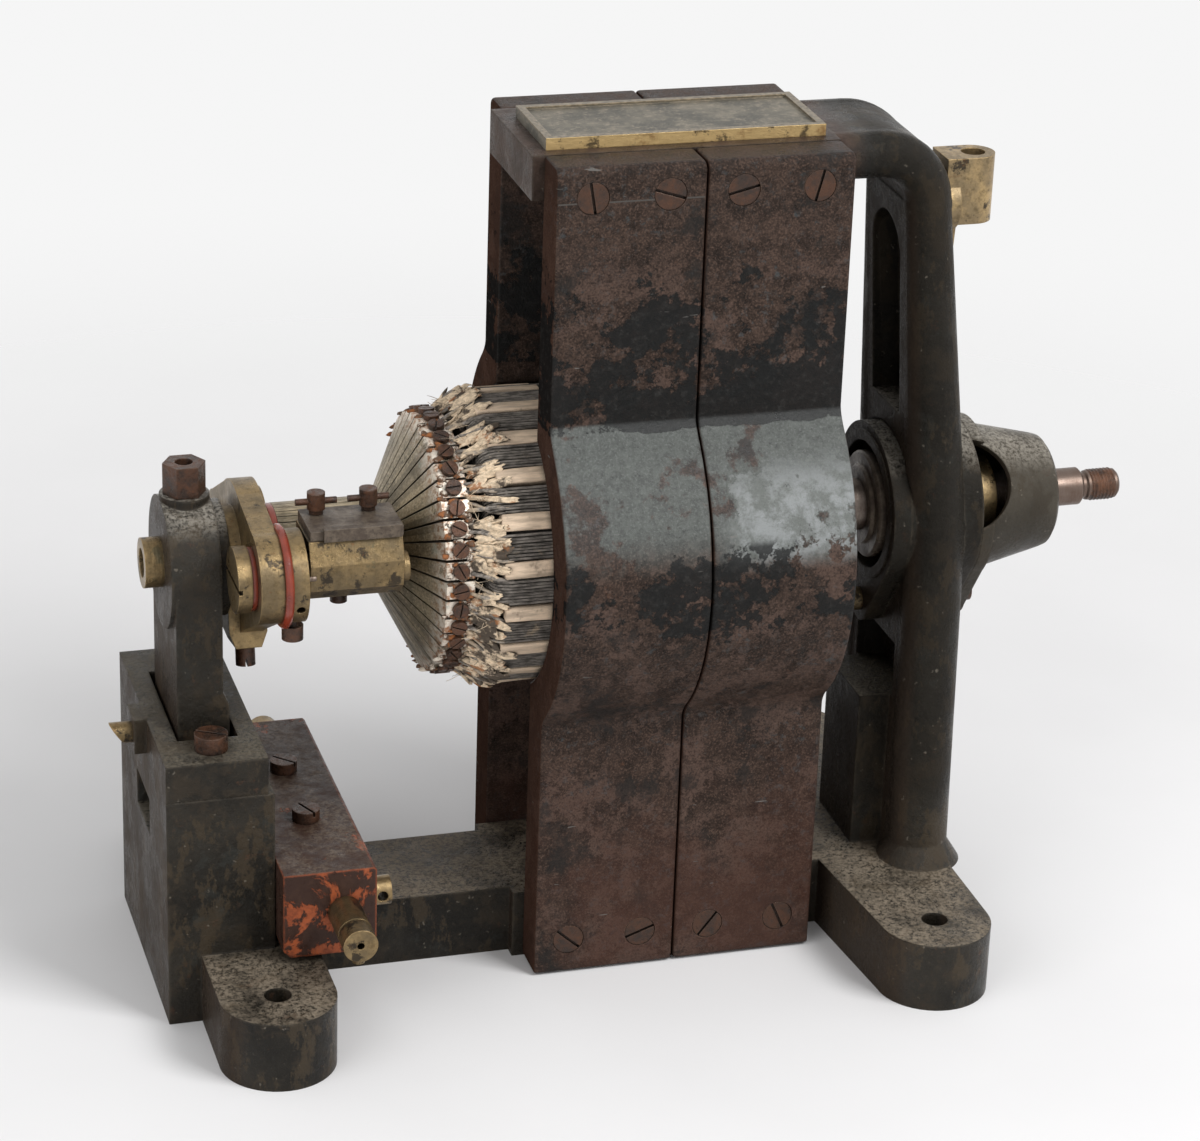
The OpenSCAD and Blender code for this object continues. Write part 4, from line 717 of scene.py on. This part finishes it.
class DYNAMO_OT_leads(bpy.types.Operator):
    """Lay the covered leads to the risers, with crust, torn tape and loose threads on them"""

    bl_idname = "dynamo.leads"
    bl_label = "Lead ends"

    strips_each_peg = 8
    hairs_each_peg = 7
    lumps_each_riser = 5
    lead_x = (-0.0545, -0.0515, -0.0485, -0.0455, -0.0425, -0.037)
    lead_out = (0.0502, 0.0516, 0.0535, 0.0556, 0.0576, 0.0588)
    lead_top = 0.0606
    screw_x = -0.0568
    screw_out = 0.0526
    tape_thick = 0.0004
    tape_x = -0.053
    tape_foot = -0.0525
    tape_out = 0.0512
    tape_slope = 0.62
    tape_top = 0.0618
    hair_radius = 0.00016
    hair_x = -0.047
    hair_out = 0.0545
    hair_top = 0.0608

    def execute(self, context):
        settings = context.scene.dynamo_wound
        look = context.scene.dynamo_colours
        chance = random.Random(23)
        paths = [self.lead(chance, k, lift) for k in range(RISERS) for lift in (0.0, 0.0011)]
        wires = tubes("lead_wires", paths, settings.lead, 2, True)
        settle(wires, "armature", "cotton", covered_wire(look, "lead_cotton", 1.6, 0.75), "lead_ends")
        by_strip = [k for k in range(PEGS) for _ in range(self.strips_each_peg)]
        tape = joined([self.strip(context, settings, chance, k) for k in by_strip], "lead_tape")
        tape.modifiers.new("thick", "SOLIDIFY").thickness = self.tape_thick
        soft = tape.modifiers.new("soft", "SUBSURF")
        soft.levels = soft.render_levels = 1
        apply_all(tape)
        bpy.ops.object.shade_smooth()
        settle(tape, "armature", "tape", torn_tape(look))
        hairs = [self.hair(chance, k) for k in range(PEGS) for _ in range(self.hairs_each_peg)]
        loose = tubes("loose_threads", hairs, self.hair_radius, 0, True)
        settle(loose, "armature", "tape", loose_thread(look))
        by_lump = [k for k in range(RISERS) for _ in range(self.lumps_each_riser)]
        lumps = joined([self.lump(context, chance, k) for k in by_lump], "riser_crust")
        bpy.ops.object.shade_smooth()
        settle(lumps, "armature", "rusty_iron", crusted())
        return {"FINISHED"}

    def lead(self, chance, k, lift):
        """From a riser's end up to the slot beside it."""
        start = TURN / RISERS * k + (0.03 if lift else -0.03)
        slot = TURN / PEGS * ((k + 1) // 2)
        end = slot + (-0.06 if k % 2 else 0.06) + stray(chance, 0.03)
        path = []
        for step, (x, out) in enumerate(zip(self.lead_x, self.lead_out)):
            held = step in (0, 5)
            jog = 0.0 if held else 0.0011
            angle = start + (end - start) * max(0.0, (step - 1) / 4)
            high = out + (0.0 if held else lift) + stray(chance, jog)
            place = round_shaft(angle, x, stray(chance, jog), min(high, self.lead_top))
            path.append((*place, chance.uniform(0.65, 1.15)))
        return path

    def lump(self, context, chance, k):
        """One lump of corrosion beside a riser screw."""
        bpy.ops.mesh.primitive_ico_sphere_add(subdivisions=2, radius=1.0)
        lump = context.active_object
        angle = TURN / RISERS * (k + 0.5) + stray(chance, 0.05)
        x = self.screw_x + chance.uniform(-0.0062, 0.0055)
        size = chance.uniform(0.0006, 0.0015)
        long = chance.uniform(1.0, 2.2)
        for vertex in lump.data.vertices:
            rough = size * chance.uniform(0.75, 1.25)
            v = vertex.co
            out = self.screw_out + v.z * rough * 0.7
            vertex.co = round_shaft(angle, x + v.x * rough * long, v.y * rough, out)
        return lump

    def strip(self, context, settings, chance, k):
        """One torn strip of tape, crumpled over the leads in front of a peg."""
        bpy.ops.mesh.primitive_grid_add(x_subdivisions=9, y_subdivisions=6, size=2)
        strip = context.active_object
        angle = TURN / PEGS * (k + 0.5) + stray(chance, 0.13)
        start = self.tape_x + chance.uniform(-0.001, 0.0065)
        reach = chance.uniform(0.006, 0.0145)
        half = settings.strip / 2 * chance.uniform(0.25, 0.85)
        lean = stray(chance, 0.0045)
        flap = chance.choice((0.0, 0.0, 0.0012, 0.0024))
        phase = chance.uniform(0, TURN)
        rows = {}
        for vertex in strip.data.vertices:
            u, v = (vertex.co.x + 1) / 2, vertex.co.y
            torn = stray(chance, 0.0018 if u < 0.01 or u > 0.99 else 0.0002)
            key = round(u, 3)
            rows.setdefault(key, stray(chance, 0.0004))
            x = start + reach * u + torn
            side = half * v * (0.75 + 0.4 * math.sin(math.pi * u)) + lean * u + rows[key]
            crown = 0.002 * (1 - v * v) + 0.0006 * math.sin(5 * v + phase + 3 * u)
            bed = self.tape_out + (x - self.tape_foot) * self.tape_slope
            out = bed + crown + flap * u**3 + stray(chance, 0.0002)
            top = self.tape_top + 0.0006 * math.sin(9 * u + phase)
            vertex.co = round_shaft(angle, x, side, min(out, top))
        return strip

    def hair(self, chance, k):
        """A loose thread sticking out of the torn tape."""
        angle = TURN / PEGS * (k + 0.5) + stray(chance, 0.12)
        x = self.hair_x + chance.uniform(-0.005, 0.004)
        side, out = 0.0, self.hair_out + (x - self.hair_x) * 0.5
        run = stray(chance, 0.0022)
        lift = chance.uniform(0.0003, 0.0011)
        sway = stray(chance, 0.0016)
        path = []
        for step in range(5):
            path.append((*round_shaft(angle, x, side, min(out, self.hair_top)), 1.0 - 0.12 * step))
            x += run + stray(chance, 0.0006)
            side += sway + stray(chance, 0.0006)
            out += lift * (1.2 - 0.3 * step)
        return path


class DYNAMO_OT_pegs(bpy.types.Operator):
    """Cut the drum's wooden pegs, each a little uneven"""

    bl_idname = "dynamo.pegs"
    bl_label = "Pegs"

    middle_radius = 0.0574
    half_height = 0.003

    def execute(self, context):
        settings = context.scene.dynamo_wound
        wood = peg_wood(context.scene.dynamo_colours)
        chance = random.Random(5)
        for node in ("drum_pegs_left", "drum_pegs_right"):
            low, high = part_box(node)
            pegs = [self.peg(context, settings, chance, k, low[0], high[0]) for k in range(PEGS)]
            whole = joined(pegs, "wooden_" + node[5:])
            worn_edges(whole, 0.0005)
            settle(whole, "armature", "wood", wood, node)
        return {"FINISHED"}

    def peg(self, context, settings, chance, k, first, last):
        """One peg, with its top and ends out of true."""
        bpy.ops.mesh.primitive_cube_add(size=2)
        bpy.ops.object.mode_set(mode="EDIT")
        bpy.ops.mesh.subdivide(number_cuts=2)
        bpy.ops.object.mode_set(mode="OBJECT")
        peg = context.active_object
        half = settings.peg / 2 * chance.uniform(0.88, 1.1)
        angle = TURN / PEGS * (k + 0.5) + stray(chance, 0.012)
        skew = stray(chance, 0.0004)
        ends = (first - chance.uniform(0.0, 0.0012), last + chance.uniform(0.0, 0.0012))
        for vertex in peg.data.vertices:
            u = (vertex.co.x + 1) / 2
            x = ends[0] + (ends[1] - ends[0]) * u + stray(chance, 0.0003)
            side = vertex.co.y * half + skew * (2 * u - 1) + stray(chance, 0.0002)
            out = self.middle_radius + self.half_height * vertex.co.z + stray(chance, 0.0002)
            vertex.co = round_shaft(angle, x, side, out)
        return peg


class DYNAMO_OT_stop_pins(bpy.types.Operator):
    """Set the small steel stop pin at each brush holder's collar end"""

    bl_idname = "dynamo.stop_pins"
    bl_label = "Stop pins"

    radius = 0.0012
    depth = 0.0042
    drop = 0.0015
    inset = 0.0003

    def execute(self, context):
        steel = shaft_steel(context.scene.dynamo_colours)
        for side, way in (("front", 1), ("back", -1)):
            low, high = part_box("holder_" + side)
            y = low[1] + self.radius if way > 0 else high[1] - self.radius
            z = (low[2] + high[2]) / 2 - self.drop * way
            bpy.ops.mesh.primitive_cylinder_add(vertices=20, radius=self.radius, depth=self.depth)
            pin = context.active_object
            for vertex in pin.data.vertices:
                v = vertex.co.copy()
                vertex.co = Vector((low[0] + self.inset + v.z, y + v.x, z + v.y))
            worn_edges(pin, 0.0003)
            pin.name = pin.data.name = "stop_pin_" + side
            settle(pin, f"holder_{side}_body", "steel", steel)
        return {"FINISHED"}


class DYNAMO_OT_shaft_thread(bpy.types.Operator):
    """Cut the thread on the shaft's drive end"""

    bl_idname = "dynamo.shaft_thread"
    bl_label = "Shaft thread"

    sides = 40
    rings_each_pitch = 6
    root = 0.00632
    depth = 0.00052
    before_end = (0.0142, 0.0012)

    def execute(self, context):
        pitch = context.scene.dynamo_wound.thread_pitch
        look = context.scene.dynamo_colours
        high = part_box("shaft")[1]
        first, last = (high[0] - gap for gap in self.before_end)
        rings = int((last - first) / pitch * self.rings_each_pitch)
        bpy.ops.mesh.primitive_grid_add(x_subdivisions=rings, y_subdivisions=self.sides, size=2)
        thread = context.active_object
        for vertex in thread.data.vertices:
            u, v = (vertex.co.x + 1) / 2, (vertex.co.y + 1) / 2
            x = first + (last - first) * u
            tooth = abs(2 * (((x - first) / pitch - v) % 1.0) - 1)
            fade = min(1.0, 8 * u, 8 * (1 - u))
            out = self.root + self.depth * tooth * fade - 0.0003 * (1 - fade)
            vertex.co = round_shaft(TURN * v, x, 0.0, out)
        bpy.ops.object.mode_set(mode="EDIT")
        bpy.ops.mesh.select_all(action="SELECT")
        bpy.ops.mesh.remove_doubles(threshold=0.00001)
        bpy.ops.mesh.normals_make_consistent(inside=False)
        bpy.ops.object.mode_set(mode="OBJECT")
        thread.name = thread.data.name = "shaft_thread"
        settle(thread, "armature", "steel", rusty_metal(look, "thread_iron", 1.5))
        return {"FINISHED"}


class DYNAMO_OT_pole_bars(bpy.types.Operator):
    """Shape and finish the four bent pole bars, and finish their screws"""

    bl_idname = "dynamo.pole_bars"
    bl_label = "Pole bars"

    screw_beside = 0.0155
    screw_heights = (0.338, 0.016)
    hole_reach = 0.0085
    flat_y = 0.0507
    bulge_r = 0.0805
    fillet = 0.005
    guard_cut = 0.12

    def execute(self, context):
        look = context.scene.dynamo_colours
        iron = forged_bar(look)
        for side in ("front", "back"):
            for hand in ("left", "right"):
                node = f"pole_bar_{side}_{hand}"
                bar = self.rounded(node, context.scene.dynamo_wound.bar_round)
                settle(bar, "frame", "bar_iron", iron, node)
        dress(rusty_metal(look, "bar_screw_iron", 0.3), "front_bar_screws", "back_bar_screws")
        return {"FINISHED"}

    def rounded(self, node, width):
        """A copy of a bar with its long edges rounded, away from the screw holes."""
        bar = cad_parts[node].copy()
        bar.data = bar.data.copy()
        bar.parent = None
        for key in list(bar.keys()):
            del bar[key]
        bar.name = bar.data.name = "forged_" + node
        bpy.context.scene.collection.objects.link(bar)
        alone(bar)
        bpy.ops.object.mode_set(mode="EDIT")
        bpy.ops.mesh.select_all(action="SELECT")
        bpy.ops.mesh.remove_doubles(threshold=0.000002)
        self.soften_creases(bar)
        bpy.ops.mesh.select_all(action="DESELECT")
        bpy.ops.mesh.select_mode(type="EDGE")
        bpy.ops.mesh.edges_select_sharp(sharpness=SHARP)
        bpy.ops.object.mode_set(mode="OBJECT")
        low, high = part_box(node)
        middle = (low[0] + high[0]) / 2
        weights = bar.data.attributes.new("bevel_weight_edge", "FLOAT", "EDGE")
        for edge in bar.data.edges:
            ends = [bar.data.vertices[i].co for i in edge.vertices]
            spot = (ends[0] + ends[1]) / 2
            beside = abs(abs(spot.x - middle) - self.screw_beside) < self.hole_reach
            level = min(abs(spot.z - z) for z in self.screw_heights) < self.hole_reach
            weights.data[edge.index].value = 1.0 if edge.select and not (beside and level) else 0.0
        bevel = bar.modifiers.new("round", "BEVEL")
        bevel.limit_method = "WEIGHT"
        bevel.width = width
        bevel.segments = 3
        bevel.use_clamp_overlap = False
        apply_all(bar)
        bpy.ops.object.shade_smooth_by_angle(angle=math.radians(35))
        flat = bar.modifiers.new("flat", "WEIGHTED_NORMAL")
        flat.weight = 100
        flat.keep_sharp = True
        return apply_all(bar)

    def soften_creases(self, bar):
        """Fillet the two creases where a bar bends out round the drum."""
        rise = math.sqrt(self.bulge_r**2 - self.flat_y**2)
        cuts = [rise + 0.15 * self.fillet * i for i in range(-6, 7)] + [self.guard_cut]
        for away in cuts:
            for z in (SHAFT_Z - away, SHAFT_Z + away):
                bpy.ops.mesh.select_all(action="SELECT")
                bpy.ops.mesh.bisect(plane_co=(0, 0, z), plane_no=(0, 0, 1))
                bpy.ops.mesh.mark_seam()
        bpy.ops.mesh.select_all(action="SELECT")
        bpy.ops.mesh.dissolve_limited(angle_limit=math.radians(0.5), delimit={"SEAM"})
        bpy.ops.object.mode_set(mode="OBJECT")
        for vertex in bar.data.vertices:
            v = vertex.co
            far = abs(v.z - SHAFT_Z)
            if abs(v.y) > self.flat_y - self.fillet and abs(far - rise) < self.fillet:
                bulge = math.sqrt(self.bulge_r**2 - far**2)
                part = min(1.0, max(0.0, 0.5 + (bulge - self.flat_y) / self.fillet / 2))
                out = self.flat_y + (bulge - self.flat_y) * part + self.fillet * part * (1 - part)
                v.y = math.copysign(out, v.y)
        bpy.ops.object.mode_set(mode="EDIT")


class DYNAMO_OT_castings(bpy.types.Operator):
    """Finish the cast frame, pedestal, standard and oil covers"""

    bl_idname = "dynamo.castings"
    bl_label = "Castings"

    def execute(self, context):
        look = context.scene.dynamo_colours
        black = painted_casting(look, "painted_casting", 1.0)
        dress(black, "main_frame", "pedestal_cap", "bearing_standard", "inner_oil_flange")
        # The oil bell gets a copy of the casting paint made 3.2 times paler: painted light, standing in for
        # the light falling on the bell.
        dress(painted_casting(look, "lit_pale_casting", 3.2), "oil_bell")
        return {"FINISHED"}


class DYNAMO_OT_brass_gear(bpy.types.Operator):
    """Finish the brass of the brush gear, bearings, bracket, terminals and nameplate"""

    bl_idname = "dynamo.brass_gear"
    bl_label = "Brass gear"

    def execute(self, context):
        look = context.scene.dynamo_colours
        gear = aged_brass(look, "gear_brass", -0.2, 0.2)
        dress(gear, "brush_rocker", *pair("collar"), *pair("spindle"))
        dress(gear, "front_terminal", "back_terminal", "side_terminal", "binding_screws")
        dress(gear, "commutator_end_bush", "inner_flange_screw")
        dress(aged_brass(look, "holder_brass", 0.1, 0.9), *pair("holder"), "oil_spout")
        # Tarnish -2.0 makes a much brighter copy of the brass for the bracket: partly pale dusting, partly
        # painted light for the light falling on it.
        dress(aged_brass(look, "bracket_brass", -2.0, 0.3), "top_bracket", "drive_end_bush")
        dress(plate_brass(look), "nameplate")
        return {"FINISHED"}


class DYNAMO_OT_small_iron(bpy.types.Operator):
    """Finish the screws, plug, clamp plates, oil thrower and shaft"""

    bl_idname = "dynamo.small_iron"
    bl_label = "Small iron and shaft"

    def execute(self, context):
        look = context.scene.dynamo_colours
        iron = rusty_metal(look, "screw_iron", 0.6)
        dress(iron, "cap_screws", "oil_plug", "terminal_block_screws", "bell_screw", "rocker_set_screw")
        dress(iron, *pair("collar_screw"))
        for screw in pair("tee_screw"):
            dress(iron, screw + "_a", screw + "_b")
        dress(rusty_metal(look, "riser_screw_iron", 1.0), "riser_screws")
        dress(worn_plate(look), *pair("clamp_plate"), "oil_thrower")
        dress(shaft_steel(look), "shaft")
        return {"FINISHED"}


class DYNAMO_OT_insulation(bpy.types.Operator):
    """Finish the red rings and the terminal block"""

    bl_idname = "dynamo.insulation"
    bl_label = "Insulation"

    def execute(self, context):
        look = context.scene.dynamo_colours
        dress(red_fibre(look), *pair("insulators"), "commutator_end_ring")
        dress(block_varnish(), "terminal_block")
        return {"FINISHED"}


class DYNAMO_OT_armature(bpy.types.Operator):
    """Finish the commutator and the drum"""

    bl_idname = "dynamo.armature"
    bl_label = "Armature"

    def execute(self, context):
        look = context.scene.dynamo_colours
        dress(riser_brass(look), "commutator_bars", "commutator_risers")
        dress(bound_core(look), "drum_core", "commutator_hub")
        return {"FINISHED"}


class DYNAMO_OT_stage(bpy.types.Operator):
    """Set the floor, the light and the camera"""

    bl_idname = "dynamo.stage"
    bl_label = "Stage"

    middle = (0.0, 0.0, 0.16)
    seen_white = 0.92
    lens = 110.76
    roll = math.radians(2.07)
    camera_place = (-0.39275, -1.33768, 0.77279)
    camera_ahead = (0.26773, 0.87583, -0.40156)

    def execute(self, context):
        settings = context.scene.dynamo_stage
        bpy.ops.mesh.primitive_plane_add(size=settings.floor_size)
        floor = context.active_object
        floor.name = "floor"
        cloth = Finish("pale_floor", specular=0.2)
        soft = cloth.noise(7, 4, 0.5)
        cloth.colour = cloth.blend(soft, 0.3, 0.7, settings.floor, shade(settings.floor, 0.97))
        away = cloth.add("ShaderNodeVectorMath", {0: cloth.where}, operation="LENGTH")
        cloth.feed(cloth.shader.inputs["Alpha"], cloth.ramp(away.outputs["Value"], 1.0, 0.3))
        floor.data.materials.append(cloth.finish(0.9))
        self.lamp(context, "key", (1.05, -1.15, 1.75), 0.9, settings.key_power)
        self.lamp(context, "fill", (-1.5, -1.0, 1.1), 1.4, settings.fill_power)
        self.sky(context, settings.sky)
        self.camera(context)
        context.scene.view_settings.view_transform = "Standard"
        return {"FINISHED"}

    def lamp(self, context, name, place, size, power):
        """A square soft lamp aimed at the object's middle."""
        data = bpy.data.lights.new(name, "AREA")
        data.size = size
        data.energy = power
        lamp = bpy.data.objects.new(name, data)
        aim = Vector(self.middle) - Vector(place)
        lamp.matrix_world = Matrix.Translation(place) @ aim.to_track_quat("-Z", "Y").to_matrix().to_4x4()
        context.scene.collection.objects.link(lamp)

    def sky(self, context, strength):
        """White to the camera and in reflections, a plain light on the rest."""
        world = bpy.data.worlds.new("studio")
        tree = Nodes(world)
        rays = tree.add("ShaderNodeLightPath").outputs
        seen = rays["Is Camera Ray"]
        for ray in ("Is Glossy Ray", "Is Transmission Ray"):
            seen = tree.maths("MAXIMUM", seen, rays[ray])
        feeds = {"Value": seen, "To Min": strength, "To Max": self.seen_white}
        level = tree.add("ShaderNodeMapRange", feeds).outputs["Result"]
        background = tree.nodes["Background"].inputs
        tree.feed(background["Color"], (1.0, 1.0, 1.0))
        tree.feed(background["Strength"], level)
        context.scene.world = world

    def camera(self, context):
        """The photograph's place, tilt and lens."""
        data = bpy.data.cameras.new("camera")
        data.sensor_width = 36.0
        data.lens = self.lens
        data.clip_end = 50.0
        ahead = Vector(self.camera_ahead).normalized()
        level = ahead.cross(Vector((0, 0, 1))).normalized()
        top = level.cross(ahead)
        right = level * math.cos(self.roll) + top * math.sin(self.roll)
        top = right.cross(ahead)
        turn = Matrix((right, top, -ahead)).transposed().to_4x4()
        camera = bpy.data.objects.new("camera", data)
        camera.matrix_world = Matrix.Translation(self.camera_place) @ turn
        context.scene.collection.objects.link(camera)
        context.scene.camera = camera


GROUPS = {"dynamo_colours": FinishColours, "dynamo_wound": WoundSettings, "dynamo_stage": StageSettings}
STEPS = (
    DYNAMO_OT_pole_bars,
    DYNAMO_OT_castings,
    DYNAMO_OT_brass_gear,
    DYNAMO_OT_small_iron,
    DYNAMO_OT_insulation,
    DYNAMO_OT_armature,
    DYNAMO_OT_pegs,
    DYNAMO_OT_winding,
    DYNAMO_OT_leads,
    DYNAMO_OT_stop_pins,
    DYNAMO_OT_shaft_thread,
    DYNAMO_OT_stage,
)


class DYNAMO_PT_sidebar(bpy.types.Panel):
    """Lists the dynamo's settings and steps"""

    bl_idname = "DYNAMO_PT_sidebar"
    bl_label = "Antique dynamo"
    bl_space_type = "VIEW_3D"
    bl_region_type = "UI"
    bl_category = "Dynamo"

    def draw(self, context):
        for name in GROUPS:
            group = getattr(context.scene, name)
            for key in group.bl_rna.properties.keys():
                if key not in ("rna_type", "name"):
                    self.layout.prop(group, key)
        for step in STEPS:
            self.layout.operator(step.bl_idname)


CLASSES = (*GROUPS.values(), *STEPS, DYNAMO_PT_sidebar)


def register():
    """Add the classes and the scene's settings."""
    for item in CLASSES:
        bpy.utils.register_class(item)
    for name, group in GROUPS.items():
        setattr(bpy.types.Scene, name, bpy.props.PointerProperty(type=group))


def unregister():
    """Take the settings and the classes away."""
    for name in GROUPS:
        delattr(bpy.types.Scene, name)
    for item in reversed(CLASSES):
        bpy.utils.unregister_class(item)


def main():
    """Dress the frame and set the stage."""
    register()
    for step in STEPS:
        group, name = step.bl_idname.split(".")
        getattr(getattr(bpy.ops, group), name)()


if __name__ == "__main__":
    main()
